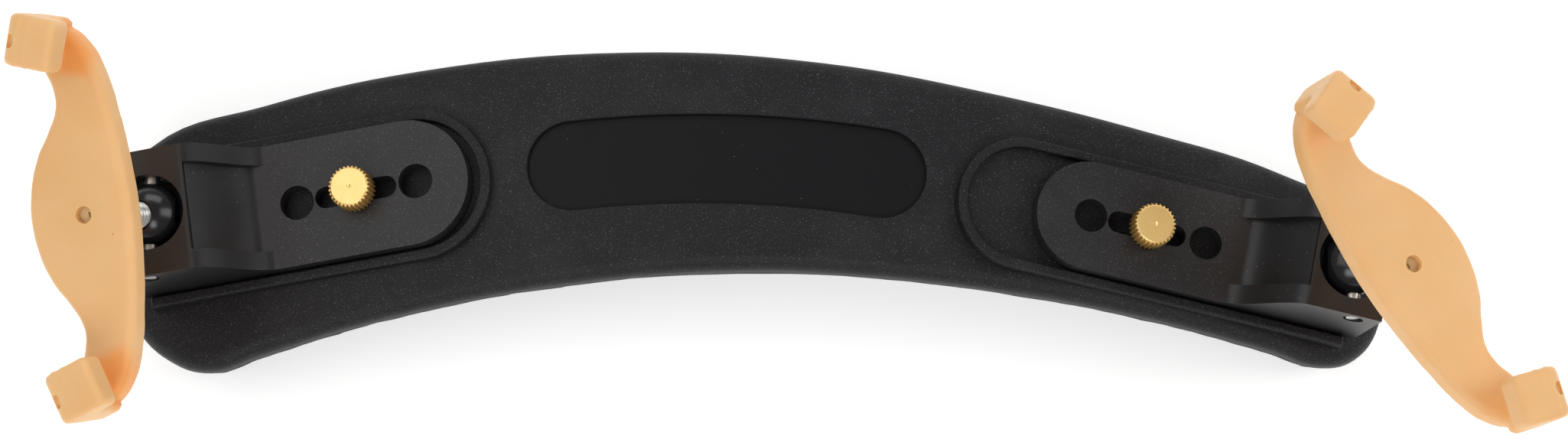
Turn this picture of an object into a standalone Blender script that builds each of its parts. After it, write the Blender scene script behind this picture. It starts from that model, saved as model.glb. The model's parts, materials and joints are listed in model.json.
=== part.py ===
"""Violin shoulder rest for a half-size violin.

An arched base with a foam pad underneath carries two slide brackets, each held by a knurled
brass thumb screw.  Every bracket ends in a cradle with a ball knuckle on two stub pins, a
threaded stud stands in the knuckle, and a rubber-covered fork with two claws sits on the stud.

The rest stands on its foam, +X runs along it, +Y is its convex long edge and +Z points to the
violin.  Sizes are in metres.
"""

import math
from dataclasses import dataclass

import bmesh
import bpy
from mathutils import Matrix, Vector

MM = 0.001
GAP = 0.3 * MM                      # clearance between neighbouring pieces

# Frame: the middle of the whole rest's box is the origin
FRAME_SHIFT = Vector((-0.123 * MM, 3.955 * MM, 0.0))

# Arch of the base
ARCH_CENTRE_X = -4.5 * MM
ARCH_RADIUS = 270.0 * MM
ARCH_TOP_Z = 22.9 * MM              # top face of the base at the arch's crown
ARCH_STRIP = 8.0 * MM               # length of each flat strip along the arch

# Base, adhesive and foam
BASE_THICKNESS = 4.0 * MM
BASE_TOP_ROUND = 2.2 * MM
BASE_LOWER_ROUND = 0.5 * MM
BASE_TOP_SEGMENTS = 3
ADHESIVE_THICKNESS = 0.3 * MM
ADHESIVE_INSET = 1.6 * MM
FOAM_THICKNESS = 6.4 * MM
FOAM_INSET = 1.0 * MM
FOAM_ROUND = 1.2 * MM

# Sunk plaque in the middle of the base, a bent stadium
PLAQUE_CENTRE = (-7.5 * MM, 8.2 * MM)
PLAQUE_RADIUS = 165.0 * MM
PLAQUE_HALF_LENGTH = 20.3 * MM
PLAQUE_HALF_WIDTH = 5.9 * MM
PLAQUE_TILT = math.radians(-1.6)
PLAQUE_DEPTH = 0.6 * MM
PLAQUE_STEPS = 10

# Track for a bracket: a raised border round a sunk floor
TRACK_TANGENT = 52.6 * MM           # distance from the crown where the track touches the arch
BORDER_HEIGHT = 1.0 * MM
FLOOR_DEPTH = 0.3 * MM
PLATFORM_ROOT = 2.6 * MM            # how far the platform reaches down into the base
PLATFORM_INSET = 1.2 * MM           # the platform stops this far inside the base's edge

# Slide bracket, in its track's frame
BRACKET_THICKNESS = 2.7 * MM
RAMP_START = 11.5 * MM
RAMP_END = 21.0 * MM
CRADLE_HEIGHT = 12.0 * MM
CRADLE_X = 25.9 * MM                # centre of the ball along the track
BALL_BELOW_TOP = 2.2 * MM
BRACKET_OUTER_END = 30.6 * MM
SEAT_RADIUS = 5.0 * MM
SLOT_HALF_WIDTH = 1.45 * MM
POCKET_LAG = 1.5 * MM               # the pocket's floor is the ramp moved outwards by this much
POCKET_OUTER_END = 20.4 * MM
HOLLOW_START = 14.5 * MM
HOLLOW_LAG = 2.2 * MM
HOLLOW_SKIN = 3.2 * MM              # from the cradle's top down to the hollow underneath
COPLANAR_STEP = 0.02 * MM           # keeps a cut clear of the face that it runs out into
SIDE_WALL = 2.0 * MM

# Thumb screw and its insert
SCREW_HEAD_RADIUS = 2.85 * MM
SCREW_HEAD_HEIGHT = 3.4 * MM
SCREW_TEETH = 30
SCREW_TOOTH_DEPTH = 0.18 * MM
SCREW_SHANK_RADIUS = 1.2 * MM
SCREW_TIP_Z = -3.3 * MM
INSERT_RADIUS = 3.0 * MM
INSERT_BORE = 1.5 * MM
INSERT_TOP_Z = -1.7 * MM
INSERT_BOTTOM_Z = -3.6 * MM

# Ball knuckle, stub pins and stud
BALL_RADIUS = 4.2 * MM
BALL_SEAM_TURN = math.radians(7.0)
PIN_RADIUS = 1.0 * MM
PIN_INNER_END = 2.6 * MM
PIN_RECESS = 0.15 * MM
STUD_RADIUS = 1.8 * MM
STUD_BELOW_BALL = 6.0 * MM
STUD_THREAD_PITCH = 0.8 * MM
STUD_THREAD_DEPTH = 0.2 * MM
STUD_COLLAR = 1.0 * MM              # plain length under the fork

# Fork with its claws: z is measured from the rubber's top face, x points away from the violin
FOOT_HEIGHT = 19.0 * MM             # from the ball's centre to the rubber's top face
RUBBER_THICKNESS = 4.0 * MM
RUBBER_ROUND = 1.1 * MM
DIMPLE_RADIUS = 1.05 * MM
FRAME_TOP_Z = -1.3 * MM
FRAME_BOTTOM_Z = -2.7 * MM
CLAW_CENTRE = (0.25 * MM, 22.1 * MM)
CLAW_SPLAY = math.radians(18.3)
CLAW_WIDTH = 6.3 * MM
CLAW_ROUND = 0.7 * MM
TAB_THICKNESS = 1.2 * MM
TAB_WIDTH = 3.0 * MM
TAB_TOP_Z = 6.6 * MM
TAB_U = 1.5 * MM                    # place of the tab along the claw
TAB_SINK = 0.2 * MM                 # the tab stops this far above the strip's underside

# Plan outlines, in millimetres, smooth through their points
BASE_OUTLINE = (
    (-84.7, 12.9), (-69.0, 17.6), (-48.3, 21.3), (-20.2, 23.1), (5.1, 21.6), (27.8, 17.8),
    (48.2, 13.4), (66.2, 8.6), (74.8, 4.4), (79.4, -3.0), (79.4, -10.6), (76.0, -15.8),
    (70.8, -17.2), (64.8, -15.6), (48.0, -11.8), (27.6, -8.6), (10.0, -6.9), (-6.0, -6.4),
    (-30.0, -8.1), (-55.5, -12.6), (-69.5, -16.4), (-75.8, -18.1), (-81.6, -16.2),
    (-86.6, -11.0), (-89.3, -2.8), (-88.8, 7.0),
)
FORK_HALF_OUTLINE = (
    (-6.2, 6.0), (-5.5, 12.0), (-4.3, 18.5), (-3.1, 22.0), (-0.8, 24.8), (2.0, 25.6),
    (3.9, 24.6), (4.3, 22.4), (3.4, 19.2), (2.45, 16.4), (2.45, 14.0), (3.85, 11.2),
    (5.95, 8.0), (7.35, 4.2),
)
FORK_INNER_MIDDLE = (-6.5, 0.0)
FORK_OUTER_MIDDLE = (7.85, 0.0)
STRIP_HALF_OUTLINE = (
    (-4.4, 6.0), (-3.7, 12.0), (-2.6, 17.5), (-1.1, 21.2), (1.4, 22.9), (2.35, 21.8),
    (1.65, 18.8), (0.75, 16.4), (0.85, 13.6), (2.2, 10.4), (4.0, 7.2), (5.3, 4.0),
)
STRIP_INNER_MIDDLE = (-4.7, 0.0)
STRIP_OUTER_MIDDLE = (5.8, 0.0)

# Side view of a claw, in millimetres: a riser, and a thick head whose lip reaches over a groove
CLAW_SIDE = (
    (-3.5, 5.1), (-3.0, 4.6), (-1.2, 4.6), (-0.75, 4.3), (-0.55, 3.7), (-0.55, -2.0),
    (2.8, -2.0), (3.35, 1.0), (3.5, 5.2), (3.4, 6.8),
)
CLAW_OUTER_CORNER = (1.55, 7.1)
CLAW_OUTER_RADIUS = 1.9
CLAW_INNER_CORNER = (-2.7, 8.2)
CLAW_INNER_RADIUS = 0.8

PARTS = "violin_shoulder_rest"
CUTTERS = "cutters"


@dataclass(frozen=True)
class Side:
    """One end of the rest: where its bracket, post and fork stand."""

    name: str
    sign: int                       # -1 at -X, +1 at +X
    screw: tuple                    # plan position of the thumb screw
    heading: float                  # plan direction of the track, outwards
    half_width: float               # half the bracket's width
    bracket_inner_end: float
    holes: tuple                    # centres of the two round holes along the bracket
    hole_radius: float
    slot: tuple                     # inner and outer end of the slot
    border_width: float
    channel_inner_end: float
    channel_outer_end: float
    pocket_half_width: float
    fold: float                     # outward lean of the post
    cant: float                     # lean of the post towards -Y
    face_cant: float                # turn of the fork's face back towards +Y
    turn: float                     # turn of the fork about its stud


LEFT = Side(
    name="left", sign=-1, screw=(-55.7 * MM, 4.2 * MM), heading=math.radians(188.2),
    half_width=8.4 * MM, bracket_inner_end=-15.2 * MM, holes=(-8.1 * MM, 8.1 * MM),
    hole_radius=2.3 * MM, slot=(-5.5 * MM, 5.6 * MM), border_width=1.4 * MM,
    channel_inner_end=-16.3 * MM, channel_outer_end=30.0 * MM, pocket_half_width=5.9 * MM,
    fold=math.radians(20.0), cant=math.radians(11.1), face_cant=math.radians(-1.4),
    turn=math.radians(-3.5),
)
RIGHT = Side(
    name="right", sign=1, screw=(47.3 * MM, -0.8 * MM), heading=math.radians(-11.5),
    half_width=7.2 * MM, bracket_inner_end=-15.2 * MM, holes=(-7.9 * MM, 7.9 * MM),
    hole_radius=2.2 * MM, slot=(-5.55 * MM, 5.1 * MM), border_width=1.3 * MM,
    channel_inner_end=-24.2 * MM, channel_outer_end=29.0 * MM, pocket_half_width=4.6 * MM,
    fold=math.radians(18.25), cant=math.radians(10.8), face_cant=math.radians(11.7),
    turn=math.radians(35.6),
)
SIDES = (LEFT, RIGHT)


# ---------------------------------------------------------------- scene and materials
def clear_scene():
    for obj in list(bpy.data.objects):
        bpy.data.objects.remove(obj, do_unlink=True)


def make_collection(name):
    collection = bpy.data.collections.new(name)
    bpy.context.scene.collection.children.link(collection)
    return collection


def make_material(name, colour, roughness, metallic=0.0):
    material = bpy.data.materials.new(name)
    material.use_nodes = True
    shader = material.node_tree.nodes["Principled BSDF"]
    shader.inputs["Base Color"].default_value = (*colour, 1.0)
    shader.inputs["Roughness"].default_value = roughness
    shader.inputs["Metallic"].default_value = metallic
    material.diffuse_color = (*colour, 1.0)
    return material


def add_object(name, mesh, collection, parent=None, material=None):
    obj = bpy.data.objects.new(name, mesh)
    bpy.data.collections[collection].objects.link(obj)
    obj.parent = parent
    if material:
        mesh.materials.append(material)
    if collection == CUTTERS:
        obj.hide_render = True
        obj.display_type = "WIRE"
    return obj


def add_empty(name, parent, matrix):
    empty = bpy.data.objects.new(name, None)
    bpy.data.collections[PARTS].objects.link(empty)
    empty.empty_display_size = 5.0 * MM
    empty.parent = parent
    empty.matrix_basis = matrix
    return empty


def combine(obj, operation, other):
    modifier = obj.modifiers.new(f"{operation.lower()} {other.name}", "BOOLEAN")
    modifier.operation = operation
    modifier.object = other
    modifier.solver = "EXACT"


def cut(obj, *cutters):
    for cutter in cutters:
        combine(obj, "DIFFERENCE", cutter)


def smooth(obj, angle=35.0):
    obj.data.shade_smooth()
    obj.data.set_sharp_from_angle(angle=math.radians(angle))


def mesh_from(name, bm):
    mesh = bpy.data.meshes.new(name)
    bm.to_mesh(mesh)
    bm.free()
    return mesh


# ---------------------------------------------------------------- basic shapes
def outline_mesh(name, points, low, high, curved=False, steps=3):
    """A closed solid: a flat outline in XY that reaches from z = low to z = high."""
    curve = bpy.data.curves.new(name, "CURVE")
    curve.dimensions = "2D"
    curve.fill_mode = "BOTH"
    curve.extrude = (high - low) / 2
    curve.resolution_u = steps
    spline = curve.splines.new("BEZIER" if curved else "POLY")
    if curved:
        spline.bezier_points.add(len(points) - 1)
        for target, (x, y) in zip(spline.bezier_points, points):
            target.co = (x, y, 0.0)
            target.handle_left_type = target.handle_right_type = "AUTO"
    else:
        spline.points.add(len(points) - 1)
        for target, (x, y) in zip(spline.points, points):
            target.co = (x, y, 0.0, 1.0)
    spline.use_cyclic_u = True
    holder = bpy.data.objects.new(name, curve)
    bpy.context.scene.collection.objects.link(holder)
    bpy.context.view_layer.update()
    graph = bpy.context.evaluated_depsgraph_get()
    mesh = bpy.data.meshes.new_from_object(holder.evaluated_get(graph))
    bpy.data.objects.remove(holder, do_unlink=True)
    bm = bmesh.new()
    bm.from_mesh(mesh)
    bmesh.ops.remove_doubles(bm, verts=bm.verts, dist=0.002 * MM)
    bmesh.ops.translate(bm, verts=bm.verts, vec=(0.0, 0.0, (low + high) / 2))
    bmesh.ops.dissolve_limit(bm, angle_limit=math.radians(0.1), verts=bm.verts, edges=bm.edges)
    bmesh.ops.recalc_face_normals(bm, faces=bm.faces)
    bm.to_mesh(mesh)
    bm.free()
    mesh.name = name
    return mesh


def round_rim(mesh, z, width, segments):
    """Rounds the edge where an upright wall meets the flat face at height z."""
    bm = bmesh.new()
    bm.from_mesh(mesh)
    rim = [
        edge for edge in bm.edges
        if all(abs(vert.co.z - z) < 0.01 * MM for vert in edge.verts)
        and len(edge.link_faces) == 2
        and edge.calc_face_angle() > math.radians(60.0)
    ]
    bmesh.ops.bevel(bm, geom=rim, offset=width, segments=segments, profile=0.5,
                    affect="EDGES", clamp_overlap=True, material=-1)
    bm.to_mesh(mesh)
    bm.free()


def arch_drop(x):
    return (x - ARCH_CENTRE_X) ** 2 / (2 * ARCH_RADIUS)


def bend_to_arch(mesh):
    """Slices a flat solid across its length and lowers each slice onto the arch."""
    bm = bmesh.new()
    bm.from_mesh(mesh)
    low = min(vert.co.x for vert in bm.verts)
    high = max(vert.co.x for vert in bm.verts)
    station = low + ARCH_STRIP / 2
    while station < high:
        bmesh.ops.bisect_plane(bm, geom=bm.verts[:] + bm.edges[:] + bm.faces[:],
                               dist=0.002 * MM, plane_co=(station, 0.0, 0.0),
                               plane_no=(1.0, 0.0, 0.0))
        station += ARCH_STRIP
    for vert in bm.verts:
        vert.co.z += ARCH_TOP_Z - arch_drop(vert.co.x)
    bm.to_mesh(mesh)
    bm.free()


def cylinder_mesh(name, radius, low, high, segments=20, axis="Z"):
    bm = bmesh.new()
    bmesh.ops.create_cone(bm, cap_ends=True, segments=segments, radius1=radius, radius2=radius,
                          depth=high - low)
    bmesh.ops.translate(bm, verts=bm.verts, vec=(0.0, 0.0, (low + high) / 2))
    if axis == "Y":
        bmesh.ops.rotate(bm, verts=bm.verts, matrix=Matrix.Rotation(math.radians(-90), 3, "X"))
    return mesh_from(name, bm)


def arc(centre, radius, start, end, count):
    """Points on an arc, angles in degrees, both ends included."""
    angles = [math.radians(start + (end - start) * i / count) for i in range(count + 1)]
    return [(centre[0] + radius * math.cos(a), centre[1] + radius * math.sin(a)) for a in angles]


def stadium(start, end, half_width, count=8):
    """A round-ended bar along X, start and end being its two tips."""
    return (arc((end - half_width, 0.0), half_width, -90, 90, count)
            + arc((start + half_width, 0.0), half_width, 90, 270, count))


def tongue(start, end, half_width, count=14):
    """A bar along X with a round inner end and a square outer end."""
    return (arc((start + half_width, 0.0), half_width, 90, 270, count)
            + [(end, -half_width), (end, half_width)])


def shrink(points, inset):
    """Moves every point of a smooth anticlockwise or clockwise outline inwards."""
    count = len(points)
    area = sum(points[i][0] * points[(i + 1) % count][1] - points[(i + 1) % count][0] * points[i][1]
               for i in range(count))
    turn = 1.0 if area > 0 else -1.0
    moved = []
    for i, (x, y) in enumerate(points):
        before, after = points[i - 1], points[(i + 1) % count]
        along = Vector((after[0] - before[0], after[1] - before[1])).normalized()
        moved.append((x - turn * along.y * inset, y + turn * along.x * inset))
    return moved


def in_metres(points):
    return [(x * MM, y * MM) for x, y in points]


def mirrored_outline(inner, half, outer):
    """A fork outline from its half on the +Y side and its two middle points."""
    lower = [(x, -y) for x, y in reversed(half)]
    return in_metres([inner, *half, outer, *lower])


# ---------------------------------------------------------------- frames
def track_matrix(side):
    """The frame of a track: origin on its plane under the screw, x outwards, z along the screw."""
    tangent_x = ARCH_CENTRE_X + side.sign * TRACK_TANGENT
    slope = side.sign * TRACK_TANGENT / ARCH_RADIUS
    height = ARCH_TOP_Z - arch_drop(tangent_x) - slope * (side.screw[0] - tangent_x)
    normal = Vector((slope, 0.0, 1.0)).normalized()
    outward = Vector((math.cos(side.heading), math.sin(side.heading),
                      -slope * math.cos(side.heading))).normalized()
    across = normal.cross(outward)
    matrix = Matrix((outward, across, normal)).transposed().to_4x4()
    matrix.translation = (side.screw[0], side.screw[1], height)
    return matrix


def post_matrices(side):
    """The knuckle's frame, with the pins along its y, and the stud's frame inside it."""
    ball = track_matrix(side) @ Vector((CRADLE_X, 0.0, CRADLE_HEIGHT - BALL_BELOW_TOP))
    fold = Matrix.Translation(ball) @ Matrix.Rotation(side.sign * side.fold, 4, "Y")
    return fold, Matrix.Rotation(side.cant, 4, "X")


def fork_matrix(side):
    """The fork's frame inside the stud's: origin on the rubber's face, x away from the violin."""
    heading = side.turn if side.sign > 0 else math.pi - side.turn
    return (Matrix.Translation((0.0, 0.0, FOOT_HEIGHT))
            @ Matrix.Rotation(-side.face_cant, 4, "X")
            @ Matrix.Rotation(heading, 4, "Z"))


# ---------------------------------------------------------------- base, adhesive and foam
def plaque_outline():
    half_angle = PLAQUE_HALF_LENGTH / PLAQUE_RADIUS
    centre = (0.0, -PLAQUE_RADIUS)
    degrees = math.degrees(half_angle)
    left = (-PLAQUE_RADIUS * math.sin(half_angle), PLAQUE_RADIUS * (math.cos(half_angle) - 1))
    right = (-left[0], left[1])
    points = (arc(centre, PLAQUE_RADIUS + PLAQUE_HALF_WIDTH, 90 + degrees, 90 - degrees,
                  PLAQUE_STEPS)
              + arc(right, PLAQUE_HALF_WIDTH, 90 - degrees, -90 - degrees, PLAQUE_STEPS)[1:-1]
              + arc(centre, PLAQUE_RADIUS - PLAQUE_HALF_WIDTH, 90 - degrees, 90 + degrees,
                    PLAQUE_STEPS)
              + arc(left, PLAQUE_HALF_WIDTH, 270 + degrees, 90 + degrees, PLAQUE_STEPS)[1:-1])
    turned = Matrix.Rotation(PLAQUE_TILT, 2)
    placed = [turned @ Vector(point) + Vector(PLAQUE_CENTRE) for point in points]
    return [(point.x, point.y) for point in placed]


def make_platform(side, track, limit):
    half = side.half_width + GAP + side.border_width
    mesh = outline_mesh(f"platform_{side.name}",
                        tongue(side.channel_inner_end - side.border_width,
                               side.channel_outer_end, half),
                        -PLATFORM_ROOT, BORDER_HEIGHT)
    platform = add_object(f"platform_{side.name}", mesh, CUTTERS, track)
    combine(platform, "INTERSECT", limit)
    return platform


def make_base(root, tracks, plastic):
    outline = in_metres(BASE_OUTLINE)
    mesh = outline_mesh("base_shell", outline, -BASE_THICKNESS, 0.0, curved=True)
    round_rim(mesh, 0.0, BASE_TOP_ROUND, BASE_TOP_SEGMENTS)
    round_rim(mesh, -BASE_THICKNESS, BASE_LOWER_ROUND, 1)
    bend_to_arch(mesh)
    base = add_object("base_shell", mesh, PARTS, root, plastic)
    limit = add_object("platform_limit",
                       outline_mesh("platform_limit", shrink(outline, PLATFORM_INSET),
                                    -BASE_THICKNESS, 2 * ARCH_TOP_Z, curved=True),
                       CUTTERS, root)
    plaque = outline_mesh("plaque_cutter", plaque_outline(), -PLAQUE_DEPTH, 2.0 * MM)
    bend_to_arch(plaque)
    for side in SIDES:
        combine(base, "UNION", make_platform(side, tracks[side.name], limit))
    cut(base, add_object("plaque_cutter", plaque, CUTTERS, root))
    for side in SIDES:
        track = tracks[side.name]
        channel = outline_mesh(f"channel_{side.name}",
                               tongue(side.channel_inner_end, 2 * side.channel_outer_end,
                                      side.half_width + GAP),
                               -FLOOR_DEPTH, 5 * BORDER_HEIGHT)
        hole = cylinder_mesh(f"screw_hole_{side.name}", INSERT_BORE, -2 * BASE_THICKNESS,
                             BORDER_HEIGHT)
        pocket = cylinder_mesh(f"insert_pocket_{side.name}", INSERT_RADIUS + GAP,
                               -2 * BASE_THICKNESS, INSERT_TOP_Z + GAP)
        cut(base, *(add_object(item.name, item, CUTTERS, track)
                    for item in (channel, hole, pocket)))
    smooth(base)


def make_pad(root, adhesive_material, foam_material):
    outline = in_metres(BASE_OUTLINE)
    top = -BASE_THICKNESS - GAP
    sheet = outline_mesh("pad_adhesive", shrink(outline, ADHESIVE_INSET),
                         top - ADHESIVE_THICKNESS, top, curved=True)
    bend_to_arch(sheet)
    add_object("pad_adhesive", sheet, PARTS, root, adhesive_material)
    top -= ADHESIVE_THICKNESS + GAP
    foam = outline_mesh("foam_pad", shrink(outline, FOAM_INSET), top - FOAM_THICKNESS, top,
                        curved=True)
    round_rim(foam, top - FOAM_THICKNESS, FOAM_ROUND, 2)
    bend_to_arch(foam)
    pad = add_object("foam_pad", foam, PARTS, root, foam_material)
    ground = bmesh.new()
    bmesh.ops.create_cube(ground, size=1.0)
    bmesh.ops.translate(ground, verts=ground.verts, vec=(0.0, 0.0, -0.5))
    cut(pad, add_object("ground", mesh_from("ground", ground), CUTTERS, root))
    smooth(pad)


# ---------------------------------------------------------------- slide bracket
def ramp_height(x, low, high):
    """Height of the S-shaped ramp from the flat plate up to the cradle."""
    share = min(max((x - RAMP_START) / (RAMP_END - RAMP_START), 0.0), 1.0)
    return low + (high - low) * (1.0 - math.cos(math.pi * share)) / 2


def ramp_line(start, end, drop=0.0, lag=0.0, count=9):
    """Side view of the ramp from start to end, lowered by drop and moved outwards by lag."""
    bends = [lag + RAMP_START + (RAMP_END - RAMP_START) * i / count for i in range(count + 1)]
    stations = [start] + [x for x in bends if start + COPLANAR_STEP < x < end - COPLANAR_STEP]
    return [(x, ramp_height(x - lag, BRACKET_THICKNESS, CRADLE_HEIGHT) - drop)
            for x in stations + [end]]


def side_prism(name, profile, half_width, track, collection=CUTTERS, material=None):
    """A solid from a side view in the track's XZ plane, half_width to each side of it."""
    mesh = outline_mesh(name, profile, -half_width, half_width)
    mesh.transform(Matrix.Rotation(math.radians(90), 4, "X"))
    return add_object(name, mesh, collection, track, material)


def make_bracket(side, track, post, plastic):
    name = f"slide_bracket_{side.name}"
    plan = outline_mesh(name, tongue(side.bracket_inner_end, BRACKET_OUTER_END, side.half_width),
                        0.0, 2 * CRADLE_HEIGHT)
    bracket = add_object(name, plan, PARTS, track, plastic)
    wide = 2 * side.half_width
    inner, outer = 2 * side.bracket_inner_end, 2 * BRACKET_OUTER_END
    profile = ramp_line(inner, outer) + [(outer, -CRADLE_HEIGHT), (inner, -CRADLE_HEIGHT)]
    combine(bracket, "INTERSECT", side_prism(f"bracket_side_{side.name}", profile, wide, track))
    pocket = ramp_line(RAMP_START, POCKET_OUTER_END, -COPLANAR_STEP, POCKET_LAG)
    pocket += [(POCKET_OUTER_END, 2 * CRADLE_HEIGHT), (RAMP_START, 2 * CRADLE_HEIGHT)]
    pocket_cutter = side_prism(f"pocket_{side.name}", pocket, side.pocket_half_width, track)
    hollow = ramp_line(HOLLOW_START, outer, HOLLOW_SKIN, HOLLOW_LAG)
    hollow += [(outer, -CRADLE_HEIGHT), (HOLLOW_START, -CRADLE_HEIGHT)]
    hollow_cutter = side_prism(f"hollow_{side.name}", hollow, side.half_width - SIDE_WALL, track)
    seat = add_object(f"seat_{side.name}",
                      cylinder_mesh("seat", SEAT_RADIUS, 0.0, 2 * CRADLE_HEIGHT, 32),
                      CUTTERS, track)
    seat.location = (CRADLE_X, 0.0, 0.0)
    slot = add_object(f"slot_{side.name}",
                      outline_mesh("slot", stadium(*side.slot, SLOT_HALF_WIDTH),
                                   -BRACKET_THICKNESS, 2 * BRACKET_THICKNESS),
                      CUTTERS, track)
    cut(bracket, pocket_cutter, hollow_cutter, seat, slot)
    for index, x in enumerate(side.holes):
        hole = add_object(f"hole_{side.name}_{index}",
                          cylinder_mesh("hole", side.hole_radius, -BRACKET_THICKNESS,
                                        2 * BRACKET_THICKNESS),
                          CUTTERS, track)
        hole.location = (x, 0.0, 0.0)
        cut(bracket, hole)
    pin_hole = add_object(f"pin_hole_{side.name}",
                          cylinder_mesh("pin_hole", PIN_RADIUS + GAP, -wide, wide, 16, "Y"),
                          CUTTERS, post)
    pin_hole.rotation_euler = (0.0, -side.sign * side.fold, 0.0)
    cut(bracket, pin_hole)
    smooth(bracket)


# ---------------------------------------------------------------- thumb screw and insert
def make_thumb_screw(side, track, brass):
    base_z = BRACKET_THICKNESS + GAP
    count = 2 * SCREW_TEETH
    teeth = []
    for i in range(count):
        angle = 2 * math.pi * i / count
        radius = SCREW_HEAD_RADIUS - (i % 2) * SCREW_TOOTH_DEPTH
        teeth.append((radius * math.cos(angle), radius * math.sin(angle)))
    mesh = outline_mesh(f"thumb_screw_{side.name}", teeth, base_z, base_z + SCREW_HEAD_HEIGHT)
    screw = add_object(f"thumb_screw_{side.name}", mesh, PARTS, track, brass)
    shank = cylinder_mesh(f"shank_{side.name}", SCREW_SHANK_RADIUS, SCREW_TIP_Z,
                          base_z + SCREW_HEAD_HEIGHT / 2, 16)
    combine(screw, "UNION", add_object(shank.name, shank, CUTTERS, track))
    smooth(screw)


def make_insert(side, track, brass):
    mesh = cylinder_mesh(f"insert_nut_{side.name}", INSERT_RADIUS, INSERT_BOTTOM_Z,
                         INSERT_TOP_Z)
    nut = add_object(mesh.name, mesh, PARTS, track, brass)
    bore = cylinder_mesh(f"insert_bore_{side.name}", INSERT_BORE, 2 * INSERT_BOTTOM_Z, 0.0)
    cut(nut, add_object(bore.name, bore, CUTTERS, track))
    smooth(nut)


# ---------------------------------------------------------------- knuckle, pins and stud
def make_knuckle(side, post, stud, plastic):
    bm = bmesh.new()
    bmesh.ops.create_uvsphere(bm, u_segments=22, v_segments=12, radius=BALL_RADIUS)
    # turned a little, so that no seam of the ball lies along an edge of a bore
    bmesh.ops.rotate(bm, verts=bm.verts,
                     matrix=Matrix.Rotation(BALL_SEAM_TURN, 3, Vector((1.0, 0.6, 0.8))))
    ball = add_object(f"knuckle_{side.name}", mesh_from(f"knuckle_{side.name}", bm),
                      PARTS, post, plastic)
    reach = 2 * BALL_RADIUS
    bore = cylinder_mesh(f"stud_bore_{side.name}", STUD_RADIUS + GAP, -reach, reach)
    cross = cylinder_mesh(f"pin_bore_{side.name}", PIN_RADIUS + GAP, -reach, reach, 16, "Y")
    cut(ball, add_object(bore.name, bore, CUTTERS, stud),
        add_object(cross.name, cross, CUTTERS, post))
    smooth(ball)


def make_pins(side, post, steel):
    """Two stub pins in the cradle's cheeks, one on each side of the ball."""
    across = abs(math.cos(side.heading))
    outer = side.half_width / across - PIN_RECESS
    for label, direction in (("front", -1), ("rear", 1)):
        name = f"pivot_pin_{side.name}_{label}"
        mesh = cylinder_mesh(name, PIN_RADIUS, PIN_INNER_END, outer, 16, "Y")
        if direction < 0:
            mesh.transform(Matrix.Rotation(math.pi, 4, "Z"))
        pin = add_object(name, mesh, PARTS, post, steel)
        smooth(pin)


def make_stud(side, stud, steel):
    """The stud is turned from a profile with a shallow round thread groove at each pitch."""
    low = -STUD_BELOW_BALL
    high = FOOT_HEIGHT + FRAME_TOP_Z - GAP
    root_radius = STUD_RADIUS - STUD_THREAD_DEPTH
    z = FOOT_HEIGHT - RUBBER_THICKNESS - STUD_COLLAR
    profile = [(0.0, high), (root_radius, high), (STUD_RADIUS, high - STUD_THREAD_DEPTH),
               (STUD_RADIUS, z)]
    while z > low + 2 * STUD_THREAD_PITCH:
        profile += [(root_radius, z - STUD_THREAD_PITCH / 2),
                    (STUD_RADIUS, z - STUD_THREAD_PITCH)]
        z -= STUD_THREAD_PITCH
    profile += [(root_radius, low), (0.0, low)]
    bm = bmesh.new()
    verts = [bm.verts.new((x, 0.0, z)) for x, z in profile]
    for first, second in zip(verts, verts[1:]):
        bm.edges.new((first, second))
    rod = add_object(f"foot_stud_{side.name}", mesh_from(f"foot_stud_{side.name}", bm),
                     PARTS, stud, steel)
    screw = rod.modifiers.new("turned", "SCREW")
    screw.axis = "Z"
    screw.angle = 2 * math.pi
    screw.steps = screw.render_steps = 10
    screw.use_merge_vertices = True
    screw.merge_threshold = 0.01 * MM
    smooth(rod)


# ---------------------------------------------------------------- fork: steel strip and rubber
def claw_matrix(end):
    """Frame of a claw, end being +1 or -1: x along the claw away from the violin."""
    return (Matrix.Translation((CLAW_CENTRE[0], end * CLAW_CENTRE[1], 0.0))
            @ Matrix.Rotation(end * CLAW_SPLAY, 4, "Z"))


def claw_profile():
    """The closed side view of a claw, its two upper corners rounded."""
    return in_metres(list(CLAW_SIDE)
                     + arc(CLAW_OUTER_CORNER, CLAW_OUTER_RADIUS, 0, 90, 4)
                     + arc(CLAW_INNER_CORNER, CLAW_INNER_RADIUS, 90, 180, 3))


def make_strip(side, stud, fork, steel):
    """The bent steel strip inside the rubber, with a tab up into each claw."""
    outline = mirrored_outline(STRIP_INNER_MIDDLE, STRIP_HALF_OUTLINE, STRIP_OUTER_MIDDLE)
    name = f"foot_frame_{side.name}"
    mesh = outline_mesh(name, outline, FRAME_BOTTOM_Z, FRAME_TOP_Z, curved=True, steps=2)
    strip = add_object(name, mesh, PARTS, fork, steel)
    for end in (1, -1):
        bm = bmesh.new()
        bmesh.ops.create_cube(bm, size=1.0)
        height = TAB_TOP_Z - FRAME_BOTTOM_Z - TAB_SINK
        bmesh.ops.scale(bm, verts=bm.verts, vec=(TAB_THICKNESS, TAB_WIDTH, height))
        bmesh.ops.translate(bm, verts=bm.verts, vec=(TAB_U, 0.0, TAB_TOP_Z - height / 2))
        bmesh.ops.transform(bm, verts=bm.verts, matrix=claw_matrix(end))
        tab = f"tab_{side.name}_{'rear' if end > 0 else 'front'}"
        combine(strip, "UNION", add_object(tab, mesh_from(tab, bm), CUTTERS, fork))
    bore = cylinder_mesh(f"strip_bore_{side.name}", STUD_RADIUS + GAP,
                         FOOT_HEIGHT - 2 * RUBBER_THICKNESS, FOOT_HEIGHT + RUBBER_THICKNESS)
    cut(strip, add_object(bore.name, bore, CUTTERS, stud))
    smooth(strip)


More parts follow.
